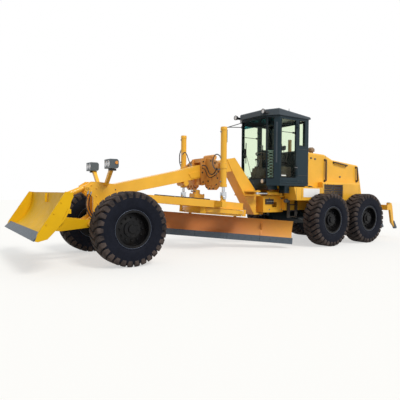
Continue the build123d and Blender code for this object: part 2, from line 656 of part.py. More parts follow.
TOP = -BLADE_TOP_DOWN
FOOT = TOP - BLADE_HEIGHT
UPPER_RAIL_Z = TOP - 125
LOWER_RAIL_Z = FOOT + 75
SHIFT_Z = (TOP + FOOT) / 2


def blade_arms():
    outline = [
        (-265, RING_Z[0]), (-315, -50), (-385, -130), (-385, FOOT + 20), (-520, FOOT + 20),
        (-600, -60), (-600, RING_Z[0]),
    ]
    arm = side_plate(outline, (ARM_Y - ARM_THICK / 2, ARM_Y + ARM_THICK / 2))
    pad, cut = (ARM_Y - PAD_HALF, ARM_Y + PAD_HALF), (ARM_Y - PAD_HALF - 1, ARM_Y + PAD_HALF + 1)
    reach = RAIL / 2 + SEAT_GAP
    for z in (UPPER_RAIL_Z, LOWER_RAIL_Z):
        jaw = block((RAIL_X - RAIL - 30, RAIL_X + 10), pad, (z - reach - 22, z + reach + 22))
        jaw -= block((RAIL_X - reach, RAIL_X + reach + 20), cut, (z - reach, z + reach))
        arm -= block((RAIL_X - reach, RAIL_X + 200), cut, (z - reach - 40, z + reach + 40))
        arm += jaw
    start, end = (SHIFT_X, -ARM_Y - 140, SHIFT_Z), (SHIFT_X, ARM_Y + 60, SHIFT_Z)
    bore = rod((SHIFT_X, start[1] + 40, SHIFT_Z), (SHIFT_X, end[1] + 1, SHIFT_Z), SHIFT_ROD_R + RUNNING_FIT)
    return both(arm) + rod(start, end, SHIFT_BARREL_R) - bore


def blade_section():
    """The curved plate's section in (x, z), concave towards the front."""
    foot, top = (-BLADE_EDGE_BACK, FOOT), (-BLADE_EDGE_BACK - 22, TOP)
    middle = (-BLADE_EDGE_BACK - BLADE_CURVE, (FOOT + TOP) / 2)
    back = [(p[0] - BLADE_PLATE, p[1]) for p in (foot, middle, top)]
    arcs = [ThreePointArc(foot, middle, top), ThreePointArc(*back)]
    return make_face(Wire(arcs + [Line(top, back[2]), Line(back[0], foot)]))


def mouldboard():
    board = extrude(side_plane(BLADE_LENGTH / 2) * blade_section(), amount=BLADE_LENGTH)
    r = RAIL / 2
    for z in (UPPER_RAIL_Z, LOWER_RAIL_Z):
        board += block((RAIL_X - r, RAIL_X + r), (-RAIL_HALF_LENGTH, RAIL_HALF_LENGTH), (z - r, z + r))
    rib = [
        (RAIL_X - 25, FOOT + 50), (-BLADE_EDGE_BACK - 50, FOOT + 50),
        (-BLADE_EDGE_BACK - BLADE_CURVE - 5, SHIFT_Z), (-BLADE_EDGE_BACK - 32, TOP - 100),
        (RAIL_X - 25, TOP - 100), (SHIFT_X - 40, SHIFT_Z + 50), (SHIFT_X - 40, SHIFT_Z - 50),
    ]
    board += both(side_plate(rib, (RAIL_HALF_LENGTH - 40, RAIL_HALF_LENGTH)))
    return board + rod((SHIFT_X, 0, SHIFT_Z), (SHIFT_X, RAIL_HALF_LENGTH - 20, SHIFT_Z), SHIFT_ROD_R)


def cutting_edge():
    x, half = -BLADE_EDGE_BACK, BLADE_LENGTH / 2
    return block((x, x + EDGE_THICK), (-half, half), (FOOT, FOOT + EDGE_HEIGHT))


keep("circle", circle_at * circle())
keep("blade_arms", circle_at * blade_arms())
keep("mouldboard", circle_at * mouldboard())
keep("cutting_edge", circle_at * cutting_edge())


# Rear frame: hinge box, two rails, cross members and the rear plate.
def rear_frame():
    box = block(BOX_X, (-BOX_HALF_WIDTH, BOX_HALF_WIDTH), BOX_Z)
    inner = (-BOX_HALF_WIDTH + BOX_WALL, BOX_HALF_WIDTH - BOX_WALL)
    box -= block((BOX_X[0] - 1, BOX_X[1] - 260), inner, (BOX_Z[0] + BOX_WALL, BOX_Z[1] - BOX_WALL))
    box -= block((-760, -600), (-BOX_HALF_WIDTH - 1, BOX_HALF_WIDTH + 1), (980, 1110))
    box -= upright(HINGE_X, 0, (BOX_Z[0] - 1, BOX_Z[1] + 1), HINGE_PIN_R + RUNNING_FIT)
    rail = block((FRAME_REAR_X, BOX_X[0] + 60), RAIL_Y, FRAME_Z)
    rail += block((BOX_X[0], BOX_X[0] + 60), (inner[1], RAIL_Y[1]), FRAME_Z)
    frame = box + both(rail)
    for x in ((-1300, -1200), (-2150, -2050), (-3250, -3150), (-3900, -3800)):
        frame += block(x, (-RAIL_Y[0] - 1, RAIL_Y[0] + 1), (FRAME_Z[1] - 150, FRAME_Z[1]))
    frame += block((FRAME_REAR_X - REAR_PLATE, FRAME_REAR_X), (-600, 600), (820, 1240))
    frame += both(block((PIVOT_X - 160, PIVOT_X + 160), (RAIL_Y[0], 560), (FRAME_Z[0] - 40, FRAME_Z[0])))
    lug_z = (BOX_Z[1] - 30, ARTIC_Z - 55)
    lug = block((ARTIC_REAR_X - 70, ARTIC_REAR_X + 60), (inner[1], ARTIC_Y + 50), lug_z)
    frame += both(lug + upright(ARTIC_REAR_X, ARTIC_Y, (lug_z[0], ARTIC_Z + 60), ARTIC_PIN_R))
    for x, y in (((-700, -600), (150, 280)), ((-1420, -1320), (RAIL_Y[0] - 60, RAIL_Y[1]))):
        frame += both(block(x, y, (FRAME_Z[1] - 20, CAB_Z[0])))
    frame += both(block((-1420, -600), (150, RAIL_Y[1]), (CAB_Z[0] - 60, CAB_Z[0])))
    return frame + rear_hangers() - tow_hole()


def tow_hole():
    return upright(FRAME_REAR_X - 100, 0, (FRAME_Z[0] - 60, FRAME_Z[0]), TOW_HOLE_R)


def rear_hangers():
    """What stands behind the rear plate: the ripper's two plates with their pins, and the tow lug."""
    back = FRAME_REAR_X - REAR_PLATE
    plate = [
        (back, 700), (back, 1240), (-4300, 1240), (-4390, 1180), (-4390, 1100), (-4300, 900), (-4440, 800),
        (-4440, 700),
    ]
    hangers = both(side_plate(plate, (280, 320)))
    hangers += both(block((back, FRAME_REAR_X), (240, 360), (700, 830)))
    tow_z, tow_x = (FRAME_Z[0] - 50, FRAME_Z[0] - 10), FRAME_REAR_X - 100
    hangers += block((tow_x, FRAME_REAR_X), (-TOW_LUG_R, TOW_LUG_R), tow_z)
    hangers += upright(tow_x, 0, tow_z, TOW_LUG_R)
    hangers += across(*RIPPER_PIVOT, (-385, 385), RIPPER_PIN_R)
    return hangers + across(*RIPPER_EYE, (-300, 300), RIPPER_CYLINDER["pin_r"])


def tandem_drive():
    height, axle_z = TANDEM_HALF_HEIGHT, WHEEL_R + 25
    case = block((REAR_AXLE_X, MIDDLE_AXLE_X), TANDEM_Y, (WHEEL_R - height, WHEEL_R + height))
    for x in (MIDDLE_AXLE_X, REAR_AXLE_X):
        case += across(x, WHEEL_R, TANDEM_Y, height)
        case += across(x, WHEEL_R, (TANDEM_Y[1], RIM_INNER_Y - GAP), AXLE_HUB_R)
        case += across(x, WHEEL_R, (TANDEM_Y[1], SPINDLE_END_Y), SPINDLE_R)
    axle = across(PIVOT_X, axle_z, (-TANDEM_Y[0], TANDEM_Y[0]), AXLE_TUBE_R)
    axle += Pos(PIVOT_X, 0, axle_z) * Sphere(AXLE_BOWL_R)
    axle += both(block((PIVOT_X - 130, PIVOT_X + 130), (RAIL_Y[0], 560), (axle_z + 75, FRAME_Z[0] - 40)))
    return both(case) + axle


keep("rear_frame", rear_frame())
keep("tandem_drive", tandem_drive())
keep("engine", block(ENGINE_X, (-320, 320), (FRAME_Z[1], 2000)))


# Hood: an open-bottomed shell with a sloping top, and a wider skirt over the rear wheels.
HOOD_OUTLINE = [
    (-3980, HOOD_LOW_Z), (-3880, 1641), (-3745, 2190), (-2617, 2290), (-2272, 2417), (-1604, 2441),
    (HOOD_FRONT_X, 2441), (HOOD_FRONT_X, HOOD_LOW_Z),
]
HOOD_INSIDE = [
    (-3948, HOOD_LOW_Z - 100), (-3855, 1641), (-3725, 2165), (-2620, 2264), (-2280, 2391), (-1604, 2415),
    (HOOD_FRONT_X - HOOD_WALL, 2415), (HOOD_FRONT_X - HOOD_WALL, HOOD_LOW_Z - 100),
]


def hood_outside():
    shell = side_plate(HOOD_OUTLINE, (-HOOD_HALF_WIDTH, HOOD_HALF_WIDTH))
    return fillet([e for e in shell.edges().filter_by(Plane.XZ) if e.center().Z > 2150], HOOD_ROUND)


def hood_inside():
    wall = HOOD_HALF_WIDTH - HOOD_WALL
    return side_plate(HOOD_INSIDE, (-wall, wall))


def skirt():
    """The two boxes along the hood's foot, open below."""
    box = block(SKIRT_X, (HOOD_HALF_WIDTH, SKIRT_Y), SKIRT_Z)
    edges = [e for e in box.edges().filter_by(Axis.X) if e.center().Y > HOOD_HALF_WIDTH + 1]
    box = fillet([e for e in edges if e.center().Z > SKIRT_Z[0] + 1], 40)
    x = (SKIRT_X[0] + HOOD_WALL, SKIRT_X[1] - HOOD_WALL)
    y, z = (HOOD_HALF_WIDTH - 1, SKIRT_Y - HOOD_WALL), (SKIRT_Z[0] - 1, SKIRT_Z[1] - HOOD_WALL)
    return box - block(x, y, z)


def slats(x, y, z, posts):
    """Level bars across a grille's box, joined by its posts."""
    bars = posts[0] + posts[1:]
    level = z[0] + SLAT_PITCH / 2
    while level + SLAT / 2 < z[1]:
        bars += block(x, y, (level - SLAT / 2, level + SLAT / 2))
        level += SLAT_PITCH
    return bars


def side_grille():
    y = (SKIRT_Y - HOOD_WALL + 4, SKIRT_Y - 6)
    middle = (SIDE_GRILLE_X[0] + SIDE_GRILLE_X[1]) / 2
    posts = [block((x - 14, x + 14), (y[0], y[0] + 8), SIDE_GRILLE_Z)
             for x in (SIDE_GRILLE_X[0] + 14, middle, SIDE_GRILLE_X[1] - 14)]
    return slats(SIDE_GRILLE_X, y, SIDE_GRILLE_Z, posts)


def rear_opening():
    return block(REAR_GRILLE_X, (-REAR_GRILLE_Y, REAR_GRILLE_Y), REAR_GRILLE_Z)


def rear_grille():
    side = REAR_GRILLE_Y - 15
    posts = [block(REAR_GRILLE_X, (y - 15, y + 15), REAR_GRILLE_Z) for y in (-side, 0, side)]
    return slats(REAR_GRILLE_X, (-REAR_GRILLE_Y, REAR_GRILLE_Y), REAR_GRILLE_Z, posts) & HOOD_SHELL


def hood():
    opening = block(SIDE_GRILLE_X, (SKIRT_Y - HOOD_WALL - 1, SKIRT_Y + 1), SIDE_GRILLE_Z)
    return HOOD_SHELL + both(skirt() - opening) - rear_opening()


def stacks():
    x, y = CLEANER_AT
    cleaner = upright(x, y, (2300, 2520), 60) + upright(x, y, (2520, 2590), 98)
    cleaner += Pos(x, y, 2590) * Cone(98, 55, 45, align=(Align.CENTER, Align.CENTER, Align.MIN))
    return cleaner + upright(*PIPE_AT, (2300, 2880), 50) - HOOD_OUTSIDE


HOOD_OUTSIDE = hood_outside()
HOOD_SHELL = HOOD_OUTSIDE - hood_inside()
keep("hood", hood())
keep("grilles", both(side_grille()), rear_grille())
keep("exhaust", stacks())


def side_boxes():
    outline = [(-813, 1500), (-927, 1165), (-1900, 1165), (-1900, 1500)]
    return both(side_plate(outline, (RAIL_Y[1], 840))) - HOOD_OUTSIDE


def steps():
    ladder = None
    for x in ((-975, -950), (-1255, -1230)):
        rail = block(x, (480, 560), (710, 1165))
        ladder = rail if ladder is None else ladder + rail
    for z in (725, 880, 1035):
        ladder += block((-1255, -950), (480, 560), (z, z + 20))
    return both(ladder)


def handle(points):
    """A bent bar through its points, which starts and ends on the hood's side."""
    bar = None
    for start, end in zip(points, points[1:]):
        piece = rod(start, end, HANDLE_R) + Pos(*end) * Sphere(HANDLE_R)
        bar = piece if bar is None else bar + piece
    return bar


def handrails():
    low, out = HOOD_HALF_WIDTH - HANDLE_R * 2, HOOD_HALF_WIDTH + HANDLE_REACH
    ends = (
        ((-2260, 1690), (-2260, 2265)),
        ((-2640, 2215), (-3190, 2150)),
        ((-3690, 1720), (-3650, 2120)),
    )
    rails = []
    for (x0, z0), (x1, z1) in ends:
        bar = handle([(x0, low, z0), (x0, out, z0), (x1, out, z1), (x1, low, z1)]) - HOOD_OUTSIDE
        rails += [bar, mirrored(bar)]
    return rails


keep("side_boxes", side_boxes())
keep("steps", steps())
keep("handrails", *handrails())


# Cab: a hollow shell with a chamfered front, doors on both sides, glass and a roof.
def cab_plan(inset, z):
    front_y, side = CAB_FRONT_Y - inset * 0.55, CAB_Y - inset
    corner_x, front_x = CAB_CORNER_X - inset * 0.35, CAB_FRONT_X - inset
    half = [(CAB_REAR_X + inset, side), (corner_x, side), (front_x, front_y)]
    return floor_plate(half + [(x, -y) for x, y in reversed(half)], z)


corner_run = Vector(CAB_CORNER_X - CAB_FRONT_X, CAB_Y - CAB_FRONT_Y)
corner_at = Location((CAB_FRONT_X, CAB_FRONT_Y, 0), (0, 0, degrees(atan2(corner_run.Y, corner_run.X))))
CORNER_WINDOW = (28.0, 165.0)


def window_panes(depth):
    """Each window's pane or hole, from depth[0] to depth[1] inward of the cab's outer faces."""
    front_y = CAB_FRONT_Y - 30
    front = block((CAB_FRONT_X - depth[1], CAB_FRONT_X - depth[0]), (-front_y, front_y), FRONT_WINDOW_Z)
    rear = block((CAB_REAR_X + depth[0], CAB_REAR_X + depth[1]), (-560, 560), REAR_WINDOW_Z)
    quarter = block(QUARTER_X, (CAB_Y - depth[1], CAB_Y - depth[0]), QUARTER_Z)
    corner = corner_at * block(CORNER_WINDOW, depth, FRONT_WINDOW_Z)
    return [front, rear, quarter, mirrored(quarter), corner, mirrored(corner)]


def door_pins():
    pins = None
    for z in DOOR_HINGE_Z:
        part = upright(DOOR_PIN[0], DOOR_PIN[1], (z - 60, z + 60), DOOR_PIN_R)
        for end in ((z - 60, z - 35), (z + 35, z + 60)):
            part += block((DOOR_PIN[0] - 45, DOOR_PIN[0] + 8), (CAB_Y, DOOR_PIN[1] + 8), end)
        pins = part if pins is None else pins + part
    return pins


def door_knuckles():
    knuckles = None
    for z in DOOR_HINGE_Z:
        part = upright(DOOR_PIN[0], DOOR_PIN[1], (z - 30, z + 30), 14)
        part += block((DOOR_PIN[0], DOOR_X[0] + 40), (CAB_Y, DOOR_PIN[1]), (z - 30, z + 30))
        part -= upright(DOOR_PIN[0], DOOR_PIN[1], (z - 31, z + 31), DOOR_PIN_R + RUNNING_FIT)
        knuckles = part if knuckles is None else knuckles + part
    return knuckles


def cab():
    shell = cab_plan(0, CAB_Z) - cab_plan(CAB_WALL, (CAB_Z[0] + CAB_FLOOR, CAB_Z[1] + 1))
    shell -= window_panes((-50, CAB_WALL + 50))
    doorway = block(
        (DOOR_X[0] - GAP, DOOR_X[1] + GAP), (CAB_Y - 100, CAB_Y + 50), (DOOR_Z[0] - GAP, DOOR_Z[1] + GAP)
    )
    sill = block((CAB_REAR_X, CAB_CORNER_X), (CAB_Y - 1, CAB_Y + 12), (SILL_Z - 16, SILL_Z + 4))
    nose = [(CAB_FRONT_X - 20, CAB_Z[0] + 1), (-300, NOSE_Z), (-590, NOSE_Z), (-590, CAB_Z[0] + 1)]
    mount = block((-800, -640), (500, 690), (1345, CAB_Z[0] + 1))
    shell += side_plate(nose, (-CAB_FRONT_Y, CAB_FRONT_Y)) + both(sill + mount)
    return shell - both(doorway) + both(door_pins())


def cab_roof():
    side = CAB_Y + ROOF_OVER
    half = [(CAB_REAR_X - 45, side), (CAB_CORNER_X + 60, side), (ROOF_FRONT_X, ROOF_FRONT_Y)]
    plan = floor_plate(half + [(x, -y) for x, y in reversed(half)], (CAB_Z[1], ROOF_TOP_Z[1] + 10))
    outline = [
        (CAB_REAR_X - 100, CAB_Z[1]), (CAB_REAR_X - 100, ROOF_TOP_Z[0]), (-400, ROOF_TOP_Z[1]),
        (ROOF_FRONT_X + 10, ROOF_TOP_Z[1] - 32), (ROOF_FRONT_X + 10, CAB_Z[1]),
    ]
    roof = plan & side_plate(outline, (-side - 10, side + 10))
    top = [f for f in roof.faces() if f.normal_at().Z > 0.8]
    rim = [e for e in roof.edges() if sum(e in f.edges() for f in top) == 1]
    return fillet(rim, ROOF_ROUND)


def door():
    z = (DOOR_Z[0] + DOOR_SILL, DOOR_Z[1] - DOOR_FRAME)
    panel = block(DOOR_X, (CAB_Y - DOOR_THICK, CAB_Y), DOOR_Z)
    panel -= block((DOOR_X[0] + DOOR_FRAME, DOOR_X[1] - DOOR_FRAME), (CAB_Y - 100, CAB_Y + 50), z)
    return panel + door_knuckles()


def door_glass():
    y = CAB_Y - DOOR_THICK / 2
    z = (DOOR_Z[0] + DOOR_SILL, DOOR_Z[1] - DOOR_FRAME)
    return block((DOOR_X[0] + DOOR_FRAME, DOOR_X[1] - DOOR_FRAME), (y, y + GLASS), z)


keep("cab", cab())
keep("cab_roof", cab_roof())
keep("cab_glass", *window_panes((CAB_WALL / 2, CAB_WALL / 2 + GLASS)))
keep("door_left", door())
keep("door_left_glass", door_glass())
keep("door_right", mirrored(door()))
keep("door_right_glass", mirrored(door_glass()))


def seat():
    floor = CAB_Z[0] + CAB_FLOOR
    base = block((-1130, -920), (-160, 160), (floor, 1900))
    cushion = block((-1220, -720), (-250, 250), (1900, 2030))
    cushion = fillet(cushion.edges().filter_by(Axis.Y), 40)
    back = side_plate([(-1220, 2000), (-1100, 2000), (-1210, 2650), (-1310, 2650)], (-240, 240))
    back = fillet(back.edges().filter_by(Plane.XZ).sort_by(Axis.Z)[-2:], 80)
    return base + cushion + back


def controls():
    foot, top = (-370, 0, 1800), (-540, 0, 2330)
    column = block((-480, -290), (-180, 180), (CAB_Z[0] + CAB_FLOOR, 1900)) + rod(foot, top, 50)
    place = Plane(origin=top, x_dir=(0, 1, 0), z_dir=Vector(*top) - Vector(*foot))
    return column + place * Torus(190, 16) + place * Box(380, 40, 16)


keep("seat", seat())
keep("controls", controls())


# Front blade: a curved plate between two end plates, on two push arms, lifted by one cylinder.
BLADE_ARC = ((4860, 1318), (4975, 880), (5230, 662))
BLADE_LIP = (5372, 578)


def blade_space():
    """The open space in front of the curved plate, as wide as the blade."""
    edge = [
        Line(BLADE_ARC[2], BLADE_LIP), Line(BLADE_LIP, (5600, 578)), Line((5600, 578), (5600, 1400)),
        Line((5600, 1400), (4860, 1400)), Line((4860, 1400), BLADE_ARC[0]),
    ]
    face = make_face(Wire([ThreePointArc(*BLADE_ARC)] + edge))
    return extrude(side_plane(FRONT_BLADE_HALF) * face, amount=2 * FRONT_BLADE_HALF)


def curved_plate():
    back = [(x - FRONT_PLATE, z - 8) for x, z in BLADE_ARC]
    face = make_face(Wire([ThreePointArc(*BLADE_ARC), ThreePointArc(*back), Line(BLADE_ARC[0], back[0]),
                           Line(BLADE_ARC[2], back[2])]))
    plate = extrude(side_plane(FRONT_BLADE_HALF) * face, amount=2 * FRONT_BLADE_HALF)
    lip = [BLADE_ARC[2], BLADE_LIP, (5330, 566), (5190, 640), back[2]]
    return plate + side_plate(lip, (-FRONT_BLADE_HALF, FRONT_BLADE_HALF))


def front_blade():
    rib = [(4800, 1290), (4765, 1060), (4850, 800), (5060, 640), (5300, 600), (5240, 900), (4900, 1300)]
    arm = [
        (PUSH_PIVOT[0], 650), (4700, 600), (5060, 640), (5200, 650), (4960, 1000), (4760, 860),
        (PUSH_PIVOT[0], 790),
    ]
    ear = [(4720, 1120), (4760, 1090), (4900, 1000), (4980, 1000), (4950, 1200), (4830, 1220), (4740, 1210)]
    inner_y = FRONT_BLADE_HALF - FRONT_PLATE
    back = both(side_plate(arm, PUSH_Y) + across(*PUSH_PIVOT, PUSH_Y, 75))
    back += block((4720, 4780), (-PUSH_Y[1], PUSH_Y[1]), (640, 820))
    back += both(side_plate(ear, (60, 90)) + across(*FRONT_BLADE_EYE, (60, 102), 30))
    for y in (640, 1030):
        back += both(side_plate(rib, (y, y + FRONT_PLATE)))
    back += block((4830, 4960), (-inner_y, inner_y), (985, 1055))
    back += block((4830, 4960), (-inner_y, inner_y), (1215, 1285))
    end = [
        (4925, 1330), (5330, 700), BLADE_LIP, (5330, 566), (5190, 600), (5030, 769), (4800, 1253), (4815, 1318),
    ]
    blade = back - blade_space() + curved_plate() + both(side_plate(end, (inner_y, FRONT_BLADE_HALF)))
    return blade - across(*PUSH_PIVOT, (-400, 400), PUSH_PIN_R + RUNNING_FIT)


def front_edge():
    section = [(5274, 692), (5290, 705), (5405, 592), (5389, 575)]
    return side_plate(section, (-FRONT_BLADE_HALF, FRONT_BLADE_HALF)) - FRONT_BLADE


FRONT_BLADE = front_blade()
front_barrel, front_ram = cylinder_pair(
    (FRONT_EYE[0], 0, FRONT_EYE[1]), (FRONT_BLADE_EYE[0], 0, FRONT_BLADE_EYE[1]), FRONT_CYLINDER
)
keep("front_blade", FRONT_BLADE)
keep("front_edge", front_edge())
keep("front_cylinder", front_barrel)
keep("front_rod", front_ram)


# Ripper: a cross beam on two arms, with curved tines that have a separate tip.
def ripper():
    arm = [
        (RIPPER_PIVOT[0], 700), (RIPPER_PIVOT[0], 820), (-4800, 1020), (-4980, 1020), (-4980, 880),
        (-4760, 800),
    ]
    frame = both(side_plate(arm, (330, 380)) + across(*RIPPER_PIVOT, (330, 380), 65))
    frame += block((-4990, -4830), (-RIPPER_HALF, RIPPER_HALF), (860, 1020))
    tine = [
        (-4880, 1080), (-5060, 1080), (-5110, 960), (-5190, 511), (-5335, 317), (-5290, 300),
        (-5080, 470), (-4990, 860), (-4880, 1000),
    ]
    tip = [(-5165, 480), (-5205, 520), (-5350, 330), (-5358, 292), (-5280, 285)]
    step = (2 * RIPPER_HALF - TINE_THICK) / (TINE_COUNT - 1)
    for i in range(TINE_COUNT):
        y = -RIPPER_HALF + i * step
        frame += side_plate(tine, (y, y + TINE_THICK)) + side_plate(tip, (y - 8, y + TINE_THICK + 8))
    ear = [(-4900, 940), (-4900, 1060), (-4840, 1130), (-4760, 1130), (-4760, 1030), (-4840, 940)]
    frame += both(side_plate(ear, (60, 90)) + across(*RIPPER_BEAM_EYE, (60, 102), 30))
    return frame - across(*RIPPER_PIVOT, (-500, 500), RIPPER_PIN_R + RUNNING_FIT)


ripper_barrel, ripper_ram = cylinder_pair(
    (RIPPER_EYE[0], 0, RIPPER_EYE[1]), (RIPPER_BEAM_EYE[0], 0, RIPPER_BEAM_EYE[1]), RIPPER_CYLINDER
)
keep("ripper", ripper())
keep("ripper_cylinder", ripper_barrel)
keep("ripper_rod", ripper_ram)

for name, shape in nodes.items():
    export_step(shape, f"parts/{name}.step")
print(len(nodes), "nodes")
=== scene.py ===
import itertools
import json
from math import cos, exp, pi, radians, sin
import bpy
import bmesh
from mathutils import Matrix, Vector


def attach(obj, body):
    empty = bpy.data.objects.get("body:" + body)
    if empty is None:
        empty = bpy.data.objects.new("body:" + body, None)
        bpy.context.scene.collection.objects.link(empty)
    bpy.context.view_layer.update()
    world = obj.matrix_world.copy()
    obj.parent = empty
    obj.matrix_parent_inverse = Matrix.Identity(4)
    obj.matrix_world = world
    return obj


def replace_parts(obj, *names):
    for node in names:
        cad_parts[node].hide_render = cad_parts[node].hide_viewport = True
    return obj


# A motor grader's looks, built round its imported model. Metres, X forward, Y to the left, Z up.
# Pieces are meshes in the model's own frame, each riding on the body that carries it.

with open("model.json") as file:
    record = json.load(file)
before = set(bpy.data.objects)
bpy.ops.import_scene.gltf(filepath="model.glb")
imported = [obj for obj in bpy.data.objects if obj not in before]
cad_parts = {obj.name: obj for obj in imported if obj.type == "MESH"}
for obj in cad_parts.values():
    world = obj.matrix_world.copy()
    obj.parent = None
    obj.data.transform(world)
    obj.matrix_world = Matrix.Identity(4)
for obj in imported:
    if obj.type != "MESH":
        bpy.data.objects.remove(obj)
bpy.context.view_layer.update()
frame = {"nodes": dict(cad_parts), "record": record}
SCENE = bpy.context.scene

# Camera, from the photograph's perspective
CAMERA_AT = Vector((6.595, 7.698, 1.327))
CAMERA_YAW = radians(-123.814)
CAMERA_PITCH = radians(-1.008)
CAMERA_ROLL = radians(0.53)
FOCAL_PIXELS = 394.06
PHOTO_PIXELS = 400
SENSOR_MM = 36.0

# Wheels
WHEEL_R = 0.675
WHEEL_Y = 1.08
WHEEL_X = {"front": 3.7, "middle": -1.774, "rear": -3.324}
TREAD_FLOOR_R = 0.64
LUG_COUNT = 30
LUG_SHARE = 0.74
LUG_RISE = -0.17
CHEVRON_HALF = 0.2
NUT_CIRCLE_R = 0.212
HUB_CIRCLE_R = 0.122

# Cab
CAB_FRONT = (-0.213, 0.48)
CAB_CORNER = (-0.429, 0.72)
CAB_REAR_X = -1.46
CAB_Y = 0.72
WINDOW_Z = (1.72, 3.205)
CORNER_PANE = (0.028, 0.165)
GLASS_IN = 0.0225
SUN_BAND_Z = 3.03
DOOR_GLASS_Z = (1.745, 3.183)

# Hood and the boxes beside it
HOOD_Y = 0.6
SKIRT_Y = 0.76
SIDE_BOX_Y = 0.84
HANDRAIL_Y = 0.655
HOOD_STEP_X = -2.3
HOOD_TOP_Z = 2.413
HOOD_SLOPE_START = (-2.617, 2.29)
HOOD_SLOPE = 0.0887

# Saddle and lift cylinders
LIFT_Y = 0.835
SADDLE_FACE_X = 1.419

# Lamps: the middle of each lamp box's front face, and its lenses' reach to each side
LAMP_FACE = (3.915, 0.545, 1.8625)
LENS_REACH = 0.07
LENS_PIT = 0.018
POST_X = (3.785, 3.845)

# Front blade
FRONT_BLADE_HALF = 1.45
PLATE_ARC = [(4.859, 1.3), (4.862, 1.18), (4.887, 1.06), (4.938, 0.94), (5.005, 0.84),
             (5.091, 0.752), (5.162, 0.7), (5.226, 0.664)]

# Drawbar, circle and blade
PITCH = radians(4.7)
YAW = radians(53.8)
DRAW = Matrix.Translation((3.43, 0, 1.0)) @ Matrix.Rotation(-PITCH, 4, "Y")
CIRCLE_X = -2.358
CIRCLE = DRAW @ Matrix.Translation((CIRCLE_X, 0, 0)) @ Matrix.Rotation(YAW, 4, "Z")
DRIVE_X = CIRCLE_X + 0.507
DRAW_TOP = 0.33
BLADE_HALF = 1.9825
BLADE_FOOT = -0.562
BLADE_TOP = -0.005
EDGE_FACE_X = -0.173


# Directions, the two sides, and the turns that lay a shape's Z axis along X or Y
SIDES = (("left", 1), ("right", -1))
AHEAD, LEFT, UP = (1, 0, 0), (0, 1, 0), (0, 0, 1)
ALONG_X = Matrix.Rotation(radians(90), 4, "Y")
ALONG_Y = Matrix.Rotation(radians(-90), 4, "X")


# Materials
MIX_SHARE, MIX_FIRST, MIX_SECOND, MIX_RESULT = 0, 6, 7, 2
BEVEL_SAMPLES = 4


def linear(red, green, blue):
    """A screen colour, 0 to 255 each, as the linear values that a shader takes."""
    def channel(value):
        value /= 255
        return value / 12.92 if value <= 0.04045 else ((value + 0.055) / 1.055) ** 2.4
    return channel(red), channel(green), channel(blue)


def scaled(colour, factor):
    return tuple(min(1.0, c * factor) for c in colour)


def feed(tree, node, inputs):
    """Sets a node's inputs, each to a value or by a link from a socket."""
    for name, value in inputs.items():
        if isinstance(value, bpy.types.NodeSocket):
            tree.links.new(value, node.inputs[name])
        else:
            node.inputs[name].default_value = value


def add_node(tree, kind, inputs):
    node = tree.nodes.new(kind)
    feed(tree, node, inputs)
    return node


def shader(name, colour, rough, metallic=0.0, coat=0.0, shine=0.5):
    """A new material, its node tree and its Principled shader."""
    material = bpy.data.materials.new(name)
    material.use_nodes = True
    tree = material.node_tree
    base = tree.nodes["Principled BSDF"]
    feed(tree, base, {"Base Color": (*colour, 1), "Roughness": rough, "Metallic": metallic,
                      "Coat Weight": coat, "Specular IOR Level": shine})
    return material, tree, base


def own_space(tree):
    """The model's own coordinates at rest, as a socket."""
    return tree.nodes.new("ShaderNodeTexCoord").outputs["Object"]


def noise(tree, scale, detail=4.0, rough=0.55, stretch=(1, 1, 1)):
    """Noise in the model's own space, as a socket from 0 to 1."""
    mapping = add_node(tree, "ShaderNodeMapping", {"Vector": own_space(tree), "Scale": stretch})
    return add_node(tree, "ShaderNodeTexNoise", {
        "Vector": mapping.outputs["Vector"], "Scale": scale, "Detail": detail, "Roughness": rough,
    }).outputs["Fac"]


def remap(tree, source, low, high, to_low=0.0, to_high=1.0):
    """source, from low to high, as a value from to_low to to_high."""
    return add_node(tree, "ShaderNodeMapRange", {
        "Value": source, "From Min": low, "From Max": high, "To Min": to_low, "To Max": to_high,
    }).outputs["Result"]


def patches(tree, grain, span=(0.3, 0.7), values=(0.0, 1.0)):
    """Noise of that grain, with its span stretched over the values."""
    return remap(tree, noise(tree, *grain), *span, *values)


def combine(tree, operation, first, second):
    """The operation on two sockets, held between 0 and 1."""
    node = tree.nodes.new("ShaderNodeMath")
    node.operation = operation
    node.use_clamp = True
    feed(tree, node, {0: first, 1: second})
    return node.outputs["Value"]


def mix(tree, share, first, second):
    """first where share is 0 and second where it is 1. Each is a socket or a colour."""
    node = tree.nodes.new("ShaderNodeMix")
    node.data_type = "RGBA"
    first, second = [(*c, 1) if isinstance(c, tuple) else c for c in (first, second)]
    feed(tree, node, {MIX_SHARE: share, MIX_FIRST: first, MIX_SECOND: second})
    return node.outputs[MIX_RESULT]


def rounded(tree, radius):
    """The surface's normals, rounded at its sharp edges."""
    node = add_node(tree, "ShaderNodeBevel", {"Radius": radius})
    node.samples = BEVEL_SAMPLES
    return node.outputs["Normal"]


def relief(tree, base, height, strength, distance, radius=0.0):
    """Bumps a surface and, where a radius is given, rounds its sharp edges."""
    node = add_node(tree, "ShaderNodeBump", {"Height": height, "Strength": strength, "Distance": distance})
    if radius:
        feed(tree, node, {"Normal": rounded(tree, radius)})
    feed(tree, base, {"Normal": node.outputs["Normal"]})


def edge_mask(tree, radius):
    """1 along sharp edges and 0 on flat faces, worn unevenly."""
    dot = tree.nodes.new("ShaderNodeVectorMath")
    dot.operation = "DOT_PRODUCT"
    feed(tree, dot, {0: rounded(tree, radius), 1: tree.nodes.new("ShaderNodeNewGeometry").outputs["Normal"]})
    edges = remap(tree, dot.outputs["Value"], 0.99, 0.8)
    return combine(tree, "MULTIPLY", edges, patches(tree, (9, 6), (0.52, 0.66)))


